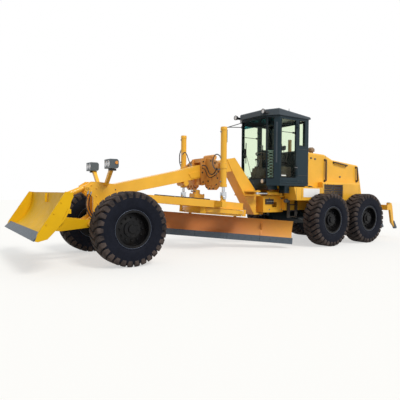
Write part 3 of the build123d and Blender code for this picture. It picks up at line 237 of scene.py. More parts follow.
def share_along(tree, axis, low, high):
    """0 where the model's coordinate on that axis is low at rest, and 1 where it is high."""
    split = add_node(tree, "ShaderNodeSeparateXYZ", {"Vector": own_space(tree)})
    return remap(tree, split.outputs[axis], low, high)


def paint(name, colour, worn, left=None, rough=0.33, coat=0.25, dust=0.3, shine=0.5):
    """Sprayed paint, uneven, with dust towards the ground and rubbed at edges. left is its left end's
    colour, a painted light gradient.
    """
    material, tree, base = shader(name, colour, rough, coat=coat, shine=shine)
    tone = mix(tree, patches(tree, (1.7, 3)), scaled(colour, 0.88), scaled(colour, 1.06))
    # A painted light gradient along Y, towards the left colour at the left end.
    if left:
        tone = mix(tree, share_along(tree, "Y", 0.1, 1.6), tone, left)
    film = patches(tree, (5, 8, 0.65), (0.42, 0.72), (0, dust))
    low = combine(tree, "MULTIPLY", share_along(tree, "Z", 1.5, 0.1), film)
    tone = mix(tree, low, tone, linear(150, 128, 100))
    tone = mix(tree, edge_mask(tree, 0.01), tone, worn)
    gloss = patches(tree, (14, 6), values=(rough - 0.06, rough + 0.12))
    feed(tree, base, {"Base Color": tone, "Roughness": gloss, "Coat Roughness": 0.12})
    relief(tree, base, noise(tree, 160, 2), 0.05, 0.002, 0.006)
    return material


def rubber(name, colour, dust_and_sheen, dust, rough=0.78):
    """Rubber with a film of dust; on the tyre, the film's bluish grey is partly a painted sheen."""
    material, tree, base = shader(name, colour, rough, shine=0.15)
    tone = mix(tree, patches(tree, (6, 8, 0.7), (0.35, 0.75), (0, dust)), colour, dust_and_sheen)
    gloss = patches(tree, (30, 4), values=(rough - 0.1, rough + 0.1))
    feed(tree, base, {"Base Color": tone, "Roughness": gloss})
    relief(tree, base, noise(tree, 90, 5), 0.25, 0.004, 0.008)
    return material


def bare_metal(name, colour, rough, metallic=0.85, streaks=(1, 1, 1)):
    """Steel or iron, with scratches stretched one way."""
    material, tree, base = shader(name, colour, rough, metallic)
    tone = mix(tree, patches(tree, (12, 8, 0.7, streaks)), scaled(colour, 0.75), colour)
    gloss = patches(tree, (25, 6, 0.6, streaks), values=(rough - 0.08, rough + 0.15))
    feed(tree, base, {"Base Color": tone, "Roughness": gloss})
    relief(tree, base, noise(tree, 70, 6, 0.6, streaks), 0.12, 0.002, 0.005)
    return material


def clear_glass(name, colour):
    material, tree, base = shader(name, colour, 0.0)
    feed(tree, base, {"Transmission Weight": 1.0, "IOR": 1.12,
                      "Roughness": patches(tree, (3, 4), values=(0.0, 0.03))})
    return material


def cloth(name, colour):
    """Woven seat cloth."""
    material, tree, base = shader(name, colour, 0.9)
    tone = mix(tree, patches(tree, (22, 6), (0.35, 0.65)), scaled(colour, 0.7), colour)
    feed(tree, base, {"Base Color": tone, "Sheen Weight": 0.4})
    relief(tree, base, noise(tree, 450, 2), 0.5, 0.002)
    return material


def lens(name, colour):
    """A lamp's ribbed lens."""
    material, tree, base = shader(name, colour, 0.08, coat=0.6)
    tone = mix(tree, patches(tree, (30, 2), (0.4, 0.6)), scaled(colour, 0.9), colour)
    feed(tree, base, {"Base Color": tone})
    relief(tree, base, noise(tree, 40, 0, 0.5, (1, 8, 1)), 0.4, 0.003)
    return material


# Each finish's kind, name, screen colours and other looks
FINISHES = (
    (paint, "yellow_paint", [(250, 188, 56), (120, 92, 62)], dict(coat=0.15, dust=0.22, shine=0.35)),
    (paint, "blade_paint", [(228, 178, 8), (150, 112, 60)], dict(rough=0.5, coat=0.0, dust=0.05, shine=0.2)),
    # Mouldboard: its orange-brown is painted shade over the yellow paint, partly also the wear of its
    # working face; the third colour, yellow, is painted light towards its left end.
    (paint, "board_paint", [(206, 128, 66), (150, 104, 66), (250, 186, 62)],
     dict(rough=0.5, coat=0.05, dust=0.15)),
    (paint, "cab_paint", [(16, 40, 50), (62, 80, 88)], dict(coat=0.06, dust=0.08, shine=0.25)),
    (paint, "roof_paint", [(62, 72, 80), (104, 112, 118)], dict(coat=0.1, dust=0.08, shine=0.3)),
    (paint, "dark_paint", [(40, 42, 46), (92, 92, 92)], dict(rough=0.45, coat=0.1)),
    (paint, "lamp_paint", [(78, 88, 94), (112, 118, 122)], dict(rough=0.45, coat=0.1, dust=0.1)),
    # Saddle: the yellow paint darkened to orange, painted shade.
    (paint, "saddle_paint", [(226, 160, 76), (140, 100, 62)], dict(rough=0.5, coat=0.05)),
    (paint, "net_paint", [(150, 178, 178), (190, 200, 200)], dict(rough=0.5, coat=0.0)),
    (paint, "rail_paint", [(84, 62, 38), (128, 100, 66)], dict(rough=0.5, coat=0.05)),
    (paint, "console", [(72, 62, 56), (96, 88, 80)], dict(rough=0.6, coat=0.0, dust=0.1)),
    (paint, "rim_paint", [(9, 10, 14), (40, 43, 52)], dict(rough=0.42, coat=0.04, dust=0.03, shine=0.2)),
    # Rim edge rings: their light grey-blue is a painted highlight, on a metal ring.
    (bare_metal, "rim_edge", [(96, 104, 122)], dict(rough=0.4, metallic=0.6)),
    # Tyre: its second colour is partly dust and partly a painted sheen on the sidewall, bluish grey.
    (rubber, "tyre", [(14, 17, 27), (32, 36, 50)], dict(dust=0.45)),
    (rubber, "tread", [(36, 34, 36), (112, 98, 92)], dict(dust=0.75)),
    (bare_metal, "steel", [(140, 142, 145)], dict(rough=0.38)),
    (bare_metal, "edge_steel", [(88, 99, 110)], dict(rough=0.46, metallic=0.55, streaks=(1, 1, 6))),
    (bare_metal, "chrome", [(215, 218, 222)], dict(rough=0.12, metallic=1.0)),
    (bare_metal, "cast_iron", [(150, 126, 102)], dict(rough=0.62, metallic=0.25)),
    (clear_glass, "glass", [(240, 248, 232)], {}),
    (clear_glass, "sun_band", [(36, 96, 108)], {}),
    (cloth, "seat_fabric", [(44, 50, 56)], {}),
    (rubber, "rubber_trim", [(20, 22, 24), (48, 50, 54)], dict(dust=0.4, rough=0.6)),
    (rubber, "hose", [(46, 40, 40), (92, 84, 80)], dict(dust=0.6, rough=0.5)),
    (rubber, "sleeve", [(84, 88, 94), (128, 130, 134)], dict(dust=0.6, rough=0.6)),
    (paint, "white_plate", [(253, 253, 250), (206, 202, 192)], dict(dust=0.04)),
    (lens, "clear_lens", [(240, 242, 244)], {}),
    (lens, "amber_lens", [(232, 150, 34)], {}),
    (lens, "red_lens", [(178, 28, 24)], {}),
)
MATERIALS = {
    name: kind(name, *[linear(*c) for c in colours], **looks) for kind, name, colours, looks in FINISHES
}


# Shapes


def facing(origin, across, up=UP):
    """A place whose X runs across a face, whose Y runs up it and whose Z points out of it."""
    across, up = Vector(across).normalized(), Vector(up).normalized()
    turn = Matrix((across, up, across.cross(up))).transposed().to_4x4()
    return Matrix.Translation(origin) @ turn


def round_points(count):
    """Points evenly round the unit circle."""
    return [(cos(a), sin(a)) for a in (2 * pi * i / count for i in range(count))]


def linked(name, data):
    """A new object in the scene."""
    thing = bpy.data.objects.new(name, data)
    SCENE.collection.objects.link(thing)
    return thing


class Shape:
    """Primitives gathered into one mesh. Each face has one of the mesh's material slots."""

    def __init__(self):
        self.mesh = bmesh.new()

    def faces(self, points, faces, slot=0):
        verts = [self.mesh.verts.new(p) for p in points]
        for face in faces:
            self.mesh.faces.new([verts[i] for i in face]).material_index = slot
        return self

    def box(self, low, high, slot=0, place=Matrix()):
        corners = [place @ Vector(corner) for corner in itertools.product(*zip(low, high))]
        sides = [(0, 1, 3, 2), (4, 6, 7, 5), (0, 4, 5, 1), (2, 3, 7, 6), (0, 2, 6, 4), (1, 5, 7, 3)]
        return self.faces(corners, sides, slot)

    def turned(self, profile, place, sides=32, slot=0, closed=True):
        """A profile of (radius, height) points turned about the place's Z axis."""
        points = [place @ Vector((r * x, r * y, h)) for r, h in profile for x, y in round_points(sides)]
        count = len(profile)
        faces = []
        for j in range(count if closed else count - 1):
            low, high = j * sides, (j + 1) % count * sides
            for i in range(sides):
                after = (i + 1) % sides
                faces.append((low + i, low + after, high + after, high + i))
        return self.faces(points, faces, slot)

    def plate(self, outline, place, thick, slot=0):
        """An outline in the place's XY plane, thick along its Z."""
        count = len(outline)
        points = [place @ Vector((x, y, h)) for h in (0, thick) for x, y in outline]
        walls = [(i, (i + 1) % count, count + (i + 1) % count, count + i) for i in range(count)]
        caps = [tuple(reversed(range(count))), tuple(range(count, 2 * count))]
        return self.faces(points, walls + caps, slot)

    def bar(self, start, end, radius, sides=20, slot=0):
        """A closed round bar."""
        start, run = Vector(start), Vector(end) - Vector(start)
        place = Matrix.Translation(start) @ run.to_track_quat("Z", "Y").to_matrix().to_4x4()
        outline = [(radius * x, radius * y) for x, y in round_points(sides)]
        return self.plate(outline, place, run.length, slot)

    def bolt(self, at, out, size, slot=0):
        """A hexagon head on its washer, which stands out of a face."""
        at, out = Vector(at), Vector(out).normalized()
        self.bar(at - out * 0.002, at + out * size * 0.25, size * 1.25, 16, slot)
        return self.bar(at + out * size * 0.2, at + out * size * 0.95, size * 0.9, 6, slot)

    def strips(self, place, low, high, width, thick):
        """Four strips round a rectangle in the place's XY plane."""
        (x0, y0), (x1, y1) = low, high
        for a, b in (
            ((x0 - width, y0 - width), (x1 + width, y0)), ((x0 - width, y1), (x1 + width, y1 + width)),
            ((x0 - width, y0), (x0, y1)), ((x1, y0), (x1 + width, y1)),
        ):
            self.box((*a, -0.002), (*b, thick), 0, place)

    def both_sides(self):
        """Adds the same faces again on the model's other side."""
        whole = self.mesh.verts[:] + self.mesh.edges[:] + self.mesh.faces[:]
        for item in bmesh.ops.duplicate(self.mesh, geom=whole)["geom"]:
            if isinstance(item, bmesh.types.BMVert):
                item.co.y *= -1

    def piece(self, name, body, *slots, bevel=0.0, angle=35):
        """The shape as an object that rides on a body."""
        bmesh.ops.recalc_face_normals(self.mesh, faces=self.mesh.faces)
        data = bpy.data.meshes.new(name)
        self.mesh.to_mesh(data)
        self.mesh.free()
        for slot in slots:
            data.materials.append(MATERIALS[slot])
        data.shade_smooth()
        data.set_sharp_from_angle(angle=radians(angle))
        piece = linked(name, data)
        if bevel:
            rounding = piece.modifiers.new("rounding", "BEVEL")
            rounding.width = bevel
            rounding.segments = 2
            rounding.limit_method = "ANGLE"
        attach(piece, body)
        return piece


# Padded seat
CUSHION_VOXEL = 0.008
CUSHION_PRESSURE = 4
CUSHION_FRAMES = 20
CHANNEL_DEPTH = 0.01
CHANNEL_WIDTH = 0.011


def applied(piece):
    """The piece's mesh with its modifiers applied."""
    graph = bpy.context.evaluated_depsgraph_get()
    data = bpy.data.meshes.new_from_object(piece.evaluated_get(graph))
    piece.modifiers.clear()
    piece.data = data
    return data


def blow_up(piece, cap):
    """Fills the piece like a cushion, with no point moving further than cap."""
    even = piece.modifiers.new("even", "REMESH")
    even.mode = "VOXEL"
    even.voxel_size = CUSHION_VOXEL
    before = [v.co.copy() for v in applied(piece).vertices]
    stuffing = piece.modifiers.new("stuffing", "CLOTH").settings
    stuffing.use_pressure = True
    stuffing.uniform_pressure_force = CUSHION_PRESSURE
    stuffing.effector_weights.gravity = 0
    for step in range(1, CUSHION_FRAMES + 1):
        SCENE.frame_set(step)
    for vertex, start in zip(applied(piece).vertices, before):
        move = vertex.co - start
        if move.length > cap:
            vertex.co = start + move.normalized() * cap
    SCENE.frame_set(1)


def cushion(name, low, high, place, channels=(), cap=0.024):
    """A padded piece of the seat. channels are the places, along the place's Y, of its sewn channels."""
    piece = Shape().box(low, high, 0, place).piece(name, "rear_frame", "seat_fabric", bevel=0.03)
    blow_up(piece, cap)
    back = place.inverted()
    for vertex in piece.data.vertices:
        local = back @ vertex.co
        for channel in channels:
            depth = CHANNEL_DEPTH * exp(-((local.y - channel) / CHANNEL_WIDTH) ** 2)
            inward = Vector((0, 0, -1 if local.z > (low[2] + high[2]) / 2 else 0))
            vertex.co += place.to_3x3() @ (inward * depth)
    if not piece.data.materials:
        piece.data.materials.append(MATERIALS["seat_fabric"])
    piece.data.shade_smooth()
    smooth = piece.modifiers.new("smooth", "SUBSURF")
    smooth.levels = smooth.render_levels = 1
    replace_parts(piece, "seat")


def seat():
    """Three cushions, and the frame with its bellows, armrests and headrest bars."""
    lean = radians(9)
    flat = facing((-0.97, 0, 1.905), LEFT, (-1, 0, 0))
    cushion("seat_cushion", (-0.225, -0.235, 0.012), (0.225, 0.235, 0.105), flat, (-0.1, 0.02, 0.13))
    upright = facing((-1.165, 0, 2.01), LEFT, (-sin(lean), 0, cos(lean)))
    cushion("seat_back", (-0.205, 0.0, -0.035), (0.205, 0.46, 0.045), upright, (0.12, 0.24, 0.36))
    cushion("seat_headrest", (-0.12, 0.5, -0.025), (0.12, 0.63, 0.035), upright, cap=0.014)
    shape = Shape()
    shape.box((-1.19, -0.205, 1.855), (-0.75, 0.205, 1.905))
    shape.box((-1.115, -0.15, 1.592), (-0.935, 0.15, 1.625)).box((-1.1, -0.14, 1.8), (-0.95, 0.14, 1.86))
    for level in range(5):
        low = 1.625 + 0.035 * level
        shape.box((-1.105, -0.145, low + 0.004), (-0.945, 0.145, low + 0.031))
    for y in (-0.245, 0.245):
        shape.box((-1.16, y - 0.02, 2.125), (-0.84, y + 0.02, 2.165))
        shape.bar((-1.13, y, 1.95), (-1.13, y, 2.14), 0.014)
    for y in (-0.06, 0.06):
        shape.bar((-1.235, y, 2.44), (-1.245, y, 2.54), 0.007)
    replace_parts(shape.piece("seat_frame", "rear_frame", "rubber_trim", bevel=0.006), "seat")


seat()


# Wheels


def tyre_shape():
    """A tyre turned about Y at the origin, its outer side towards +Y, with chevron bars round its tread."""
    half = [
        (0.318, 0.176), (0.328, 0.19), (0.352, 0.194), (0.358, 0.203), (0.372, 0.204), (0.38, 0.213),
        (0.43, 0.2215), (0.5, 0.2225), (0.545, 0.221), (0.58, 0.214), (0.61, 0.202), (0.63, 0.18),
        (TREAD_FLOOR_R, 0.15), (TREAD_FLOOR_R + 0.002, 0.075),
    ]
    profile = half + [(TREAD_FLOOR_R + 0.003, 0.0)] + [(r, -y) for r, y in reversed(half)]
    shape = Shape().turned(profile, ALONG_Y, 120, closed=False)
    outer = [
        (0.56, 0.219), (0.59, 0.2235), (0.622, 0.2225), (0.652, 0.212), (0.668, 0.195), (0.6735, 0.165),
        (0.675, 0.125), (0.675, 0.083), (0.675, 0.041), (0.675, 0.0),
    ]
    across = outer + [(r, -y) for r, y in reversed(outer[:-1])]
    pitch = 2 * pi / LUG_COUNT
    for i in range(LUG_COUNT):
        points = []
        for r, y in across:
            lean = LUG_RISE * (1 - min(1.0, abs(y) / CHEVRON_HALF))
            shoulder = max(0.0, (0.655 - r) / 0.095)
            width = pitch * (LUG_SHARE - 0.16 * shoulder)
            foot = (r - 0.045, y) if abs(y) < CHEVRON_HALF else (r - 0.02, y * 0.91)
            half_row = [(0.43, r, y), (0.47, r - 0.004, y), (0.54, *foot)]
            row = [(-share, *at) for share, *at in reversed(half_row)] + [(0.0, r, y)] + half_row
            for share, radius, side in row:
                a = i * pitch + lean + share * width
                points.append((radius * cos(a), side, radius * sin(a)))
        count = len(row)
        quads = [(j * count + k, j * count + k + 1, (j + 1) * count + k + 1, (j + 1) * count + k)
                 for j in range(len(across) - 1) for k in range(count - 1)]
        last = (len(across) - 1) * count
        ends = [tuple(range(count)), tuple(range(last, last + count))]
        shape.faces(points, quads + ends, 1)
    return shape


def wheel_fittings():
    """The rim's edge rings, nuts, hub cap and valve, about Y at the origin, outer side towards +Y."""
    shape = Shape()
    for side in (1, -1):
        # The edge rings' light colour, slot 1, is a painted highlight.
        ring = [(0.3405, 0.2025), (0.343, 0.205), (0.346, 0.205), (0.348, 0.2015), (0.344, 0.199)]
        shape.turned([(r, y * side) for r, y in ring], ALONG_Y, 72, 1)
    cap = [(0.001, 0.148), (0.072, 0.148), (0.078, 0.156), (0.078, 0.172), (0.07, 0.18), (0.001, 0.182)]
    shape.turned(cap, ALONG_Y)
    for x, z in [(NUT_CIRCLE_R * x, NUT_CIRCLE_R * z) for x, z in round_points(12)]:
        shape.bar((x, 0.088, z), (x, 0.118, z), 0.017, 6).bar((x, 0.11, z), (x, 0.134, z), 0.009, 10)
    for i in range(8):
        a = radians(45 * i + 11)
        shape.bolt((HUB_CIRCLE_R * cos(a), 0.1495, HUB_CIRCLE_R * sin(a)), LEFT, 0.011)
    return shape.bar((0.285, 0.12, 0.02), (0.262, 0.186, 0.02), 0.007, 8)


def wheels():
    for place, x in WHEEL_X.items():
        for side, sign in SIDES:
            body = f"wheel_{place}_{side}"
            move = Matrix.Translation((x, sign * WHEEL_Y, WHEEL_R)) @ Matrix.Diagonal((1, sign, 1, 1))
            tyre, fittings = tyre_shape(), wheel_fittings()
            for shape in (tyre, fittings):
                shape.mesh.transform(move)
            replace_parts(tyre.piece(f"tyre_detailed_{place}_{side}", body, "tyre", "tread", angle=40),
                        f"tyre_{place}_{side}")
            fittings.piece(f"rim_fittings_{place}_{side}", body, "rim_paint", "rim_edge", angle=40)


wheels()


# Cab


def corner_place():
    """The chamfered corner's outer face on the left, from the front edge back."""
    (x0, y0), (x1, y1) = CAB_FRONT, CAB_CORNER
    return facing((x0, y0, 0), (x1 - x0, y1 - y0, 0))


def cab_gaskets():
    """Rubber gaskets round the fixed panes."""
    low, high = WINDOW_Z
    shape = Shape()
    shape.strips(corner_place(), (CORNER_PANE[0], low), (CORNER_PANE[1], high), 0.014, 0.006)
    shape.strips(facing((-1.12, CAB_Y, 0), (-1, 0, 0)), (0, 2.572), (0.195, 3.19), 0.014, 0.006)
    shape.both_sides()
    shape.strips(facing((CAB_FRONT[0], 0, 0), LEFT), (-0.45, low), (0.45, high), 0.018, 0.006)
    shape.strips(facing((CAB_REAR_X, 0, 0), (0, -1, 0)), (-0.56, 2.48), (0.56, 3.18), 0.018, 0.006)
    shape.piece("cab_gaskets", "rear_frame", "rubber_trim", bevel=0.003)


def sun_band():
    """The tinted film along the top of the front panes."""
    shape = Shape()
    low, high = SUN_BAND_Z, WINDOW_Z[1]
    shape.box((CORNER_PANE[0], low, -0.021), (CORNER_PANE[1], high, -0.019), 0, corner_place())
    shape.both_sides()
    front = CAB_FRONT[0] - GLASS_IN
    shape.box((front + 0.001, -0.45, low), (front + 0.003, 0.45, high))
    shape.piece("sun_band", "rear_frame", "sun_band", bevel=0.0008)


def cab_lamps():
    """Two round lamps at the roof's front corners, one under the front window, and their arms."""
    shape = Shape()
    bucket = [(0.001, -0.062), (0.03, -0.06), (0.05, -0.04), (0.059, 0.0), (0.064, 0.022),
              (0.06, 0.03), (0.053, 0.028), (0.05, 0.016), (0.001, 0.012)]
    glass = [(0.001, 0.027), (0.03, 0.025), (0.051, 0.018), (0.051, 0.014), (0.001, 0.013)]
    for at in ((-0.047, 0.528, 3.336), (-0.047, -0.528, 3.336), (-0.165, 0.4, 1.64)):
        place = Matrix.Translation(at) @ ALONG_X
        shape.turned(bucket, place, 36).turned(glass, place, 36, 1)
    for y in (0.528, -0.528):
        shape.box((-0.245, y - 0.03, 3.3), (-0.1, y + 0.03, 3.352))
    shape.box((-0.23, 0.385, 1.632), (-0.212, 0.415, 1.648))
    shape.bar((-0.225, 0.4, 1.64), (-0.215, 0.4, 1.64), 0.02)
    shape.piece("cab_lamps", "rear_frame", "dark_paint", "clear_lens", bevel=0.002)


def mirror():
    """The long-armed mirror on the right of the cab."""
    shape = Shape()
    knee = (-0.245, -1.13, 3.19)
    shape.bar((-0.245, -0.5, 3.222), knee, 0.011).bar((-0.245, -0.5, 3.1), knee, 0.011)
    shape.bar(knee, (-0.245, -1.27, 3.16), 0.011)
    shape.bar((-0.245, -1.27, 3.19), (-0.245, -1.27, 2.8), 0.009)
    for z in (3.222, 3.1):
        shape.box((-0.262, -0.512, z - 0.03), (-0.213, -0.47, z + 0.03))
    outline = [(-0.09, -0.17), (-0.07, -0.2), (0.07, -0.2), (0.09, -0.17), (0.09, 0.17), (0.07, 0.2),
               (-0.07, 0.2), (-0.09, 0.17)]
    head = facing((-0.235, -1.27, 2.96), (0, -1, 0))
    shape.plate(outline, head, 0.035)
    glass = [(x * 0.88, y * 0.92) for x, y in outline]
    shape.plate(glass, head @ Matrix.Translation((0, 0, -0.003)), 0.004, 1)
    shape.piece("mirror_right", "rear_frame", "dark_paint", "chrome", bevel=0.004)


def wipers():
    """Two wipers on the front window."""
    shape = Shape()
    face = CAB_FRONT[0] + 0.004
    for y0, y1, z1 in ((-0.02, -0.3, 2.42), (0.06, 0.34, 2.3)):
        shape.bar((face + 0.018, y0, 1.705), (face + 0.014, y1, z1), 0.006, 10)
        shape.bar((face - 0.004, y0, 1.705), (face + 0.026, y0, 1.705), 0.018)
        shape.box((face - 0.012, y1 - 0.006, z1 - 0.3), (face + 0.01, y1 + 0.006, z1 + 0.24))
    shape.piece("wipers", "rear_frame", "rubber_trim", bevel=0.002)


def roof_details():
    """The roof's hatch and the aerial."""
    shape = Shape()
    shape.box((-1.12, -0.3, 3.372), (-0.62, 0.3, 3.415)).box((-1.15, -0.33, 3.366), (-0.59, 0.33, 3.392))
    shape.bar((-0.809, 0.64, 3.392), (-0.809, 0.64, 3.425), 0.022, 24)
    shape.bar((-0.809, 0.64, 3.42), (-0.815, 0.64, 3.48), 0.006, 10)
    shape.piece("roof_hatch", "rear_frame", "roof_paint", bevel=0.008)


def cab_panels():
    """Panel seams, the light strip on the front posts, and bolts along the sill and the nose."""
    shape = Shape()
    corner = corner_place()
    shape.box((0.225, 2.1, 0), (0.262, 3.1, 0.005), 1, corner)
    for z in (2.47, 1.8):
        shape.box((-1.43, CAB_Y - 0.002, z), (-1.06, CAB_Y + 0.003, z + 0.008))
    shape.box((-1.428, CAB_Y - 0.002, 1.7), (-1.42, CAB_Y + 0.003, 2.47))
    for x in (-1.4, -1.24, -1.09):
        shape.bolt((x, CAB_Y, 1.66), LEFT, 0.01)
    shape.both_sides()
    for y in (-0.4, -0.2, 0.0, 0.2):
        shape.bolt((CAB_FRONT[0], y, 1.6), AHEAD, 0.011)
    shape.piece("cab_panels", "rear_frame", "dark_paint", "roof_paint", bevel=0.001)


def door_details(side, sign):
    """A door's handle, hinge straps, inner rail with its latch, glass seal and blank plate."""
    shape = Shape()
    place = facing((0, CAB_Y, 0), (-1, 0, 0))
    shape.strips(place, (0.485, DOOR_GLASS_Z[0]), (0.985, DOOR_GLASS_Z[1]), 0.01, 0.004)
    shape.bar((-0.985, 0.69, 2.872), (-0.485, 0.69, 2.872), 0.008, 12)
    shape.box((-0.985, 0.672, 2.855), (-0.905, 0.7, 2.895))
    shape.bar((-0.51, 0.69, 2.3), (-0.51, 0.69, 2.56), 0.013)
    for z in (2.31, 2.55):
        shape.bar((-0.47, 0.7, z), (-0.51, 0.69, z), 0.01, 12)
    shape.box((-1.015, CAB_Y, 1.955), (-0.995, CAB_Y + 0.03, 2.035))
    shape.bar((-1.02, CAB_Y + 0.026, 1.995), (-0.93, CAB_Y + 0.03, 1.995), 0.011, 16, 1)
    shape.box((-0.66, CAB_Y - 0.014, 1.772), (-0.5, CAB_Y - 0.009, 1.8), 2)
    shape.mesh.transform(Matrix.Diagonal((1, sign, 1, 1)))
    shape.piece(f"door_details_{side}", f"door_{side}", "rubber_trim", "steel", "white_plate", bevel=0.002)


def cab_inside():
    """The dashboard, side consoles with levers, pedals, and the net behind the left corner pane."""
    shape = Shape()
    shape.box((-0.47, -0.15, 1.895), (-0.3, 0.15, 1.95))
    shape.box((-0.52, -0.11, 2.215), (-0.43, 0.11, 2.3))
    for sign in (1, -1):
        for x0, x1, y, half, low, high in (
            (-1.05, -0.62, 0.42, 0.09, 1.592, 2.02), (-0.64, -0.56, 0.3, 0.05, 1.592, 2.06),
            (-0.34, -0.3, 0.22, 0.04, 1.62, 1.76),
        ):
            shape.box((x0, sign * y - half, low), (x1, sign * y + half, high))
        for i in range(4):
            x = -0.585 - 0.01 * i
            y = sign * (0.165 + 0.055 * i)
            shape.bar((x, y, 2.05), (x + 0.03, y, 2.235), 0.006, 10, 1)
            shape.bar((x + 0.03, y, 2.22), (x + 0.035, y, 2.265), 0.015, 16)
    shape.piece("cab_console", "rear_frame", "console", "steel", bevel=0.008)
    net = Shape()
    corner = corner_place()
    (low, high), count = (1.745, 2.4), 9

    def at(across, z):
        return corner @ Vector((across, z, -0.06))

    rise = (high - low) / count
    for i in range(count):
        for a, b in (((0.02, i), (0.19, i + 1)), ((0.19, i), (0.02, i + 1))):
            net.bar(*[at(u, low + rise * k) for u, k in (a, b)], 0.006, 8)
    for u in (0.02, 0.19):
        net.bar(at(u, low), at(u, high), 0.007, 10)
    for z in (low, high):
        net.bar(at(0.02, z), at(0.3, z), 0.007, 10)
    net.piece("guard_net", "rear_frame", "net_paint")


cab_gaskets()
sun_band()
cab_lamps()
mirror()
wipers()
roof_details()
cab_panels()
for door_side, door_sign in SIDES:
    door_details(door_side, door_sign)
cab_inside()


# Hood and side boxes


def hood_details():
    """Door seams, latches, top blocks, handrail grips and the white blank plates."""
    shape = Shape()
    seams = [(x, SKIRT_Y, 1.18, 1.61) for x in (-2.03, -2.9, -3.6)]
    for x, y, low, high in [(-2.305, HOOD_Y, 1.655, 2.395), (-1.5, HOOD_Y, 1.52, 2.4)] + seams:
        shape.box((x - 0.003, y - 0.002, low), (x + 0.003, y + 0.001, high))
    for x, z in ((-1.706, 2.288), (-1.866, 2.271), (-2.928, 1.823)):
        shape.box((x - 0.03, HOOD_Y - 0.002, z - 0.02), (x + 0.03, HOOD_Y + 0.012, z + 0.02))
        shape.bar((x, HOOD_Y + 0.01, z), (x, HOOD_Y + 0.018, z), 0.012, 16, 1)
    for x in (-2.2, -2.1):
        shape.bolt((x, SKIRT_Y, 1.6), LEFT, 0.009)
    shape.both_sides()
    for x in (-1.9, -2.45, -3.0, -3.55):
        z = HOOD_TOP_Z if x > HOOD_STEP_X else HOOD_SLOPE_START[1] - (HOOD_SLOPE_START[0] - x) * HOOD_SLOPE
        shape.box((x - 0.03, -0.03, z), (x + 0.03, 0.03, z + 0.022))
    shape.piece("hood_details", "rear_frame", "dark_paint", "steel", bevel=0.002)
    grips = Shape()
    for (x0, z0), (x1, z1) in (((-2.26, 1.69), (-2.26, 2.265)), ((-2.64, 2.215), (-3.19, 2.15)),
                               ((-3.69, 1.72), (-3.65, 2.12))):
        start, end = Vector((x0, HANDRAIL_Y, z0)), Vector((x1, HANDRAIL_Y, z1))
        for share, radius in ((0.06, 0.024), (0.0, 0.021)):
            grips.bar(start.lerp(end, share), end.lerp(start, share), radius)
        for at in (start, end):
            grips.bar((at.x, HOOD_Y - 0.002, at.z), (at.x, HOOD_Y + 0.01, at.z), 0.036, 24)
    grips.both_sides()
    grips.piece("handrail_grips", "rear_frame", "rail_paint", bevel=0.003)
    plate = Shape()
    face = SIDE_BOX_Y
    plate.box((-1.775, face - 0.002, 1.245), (-1.16, face + 0.003, 1.47))
    for x in (-1.75, -1.185):
        for z in (1.27, 1.445):
            plate.bolt((x, face + 0.002, z), LEFT, 0.007)
    plate.both_sides()
    plate.piece("blank_plates", "rear_frame", "white_plate", bevel=0.001)


def side_box_details():
    """Lids, hinges and the filler cap of the boxes beside the frame."""
    shape = Shape()
    for x in (-0.9, -1.1, -1.83):
        shape.box((x - 0.004, SIDE_BOX_Y - 0.002, 1.19), (x + 0.004, SIDE_BOX_Y + 0.002, 1.48))
    for x in (-1.0, -1.4, -1.78):
        shape.bar((x - 0.05, 0.6, 1.507), (x + 0.05, 0.6, 1.507), 0.01, 12)
    shape.both_sides()
    for low, high, radius in ((1.498, 1.53, 0.055), (1.525, 1.54, 0.042)):
        shape.bar((-1.62, 0.66, low), (-1.62, 0.66, high), radius, 32)
    shape.piece("side_box_details", "rear_frame", "dark_paint", bevel=0.003)


def hinge_side():
    """The valve blocks and filters beside the hinge box, its bolts, and the cab's rubber mounts."""
    shape = Shape()
    shape.box((-0.625, 0.296, 1.06), (-0.35, 0.325, 1.19))
    for i in range(4):
        x = -0.59 + 0.068 * i
        shape.bar((x, 0.32, 1.125), (x, 0.352, 1.125), 0.02, 6, 1)
        shape.bar((x, 0.345, 1.125), (x, 0.368, 1.125), 0.012, 12, 1)
    shape.bar((-0.985, 0.505, 1.15), (-0.85, 0.505, 1.15), 0.052, 32, 2)
    shape.bar((-0.855, 0.505, 1.15), (-0.835, 0.505, 1.15), 0.044, 32, 1)
    shape.box((-0.96, 0.44, 1.13), (-0.9, 0.47, 1.17))
    shape.both_sides()
    for sign in (1, -1):
        for x in (-0.65, -1.37):
            shape.bar((x, sign * 0.3, 1.455), (x, sign * 0.3, 1.472), 0.05, 24)
        for z in (0.92, 1.2):
            for x in (-0.5, -0.93):
                shape.bolt((x, sign * 0.3, z), (0, sign, 0), 0.016, 1)
    shape.piece("hinge_side_fittings", "rear_frame", "dark_paint", "steel", "sleeve", bevel=0.003)


def rear_lamps():
    """The two rear lamps and the blank plate between them."""
    shape = Shape()
    for sign in (1, -1):
        y = sign * 0.54
        shape.box((-4.195, y - 0.045, 1.13), (-4.188, y + 0.045, 1.23))
        for low, high, slot in ((1.18, 1.224, 1), (1.136, 1.176, 2)):
            shape.box((-4.212, y - 0.038, low), (-4.194, y + 0.038, high), slot)
    shape.box((-4.196, -0.21, 1.135), (-4.189, 0.21, 1.228), 3)
    shape.piece("rear_lamps", "rear_frame", "dark_paint", "red_lens", "amber_lens", "white_plate",
                bevel=0.003)


hood_details()
side_box_details()
hinge_side()
rear_lamps()


# Front frame


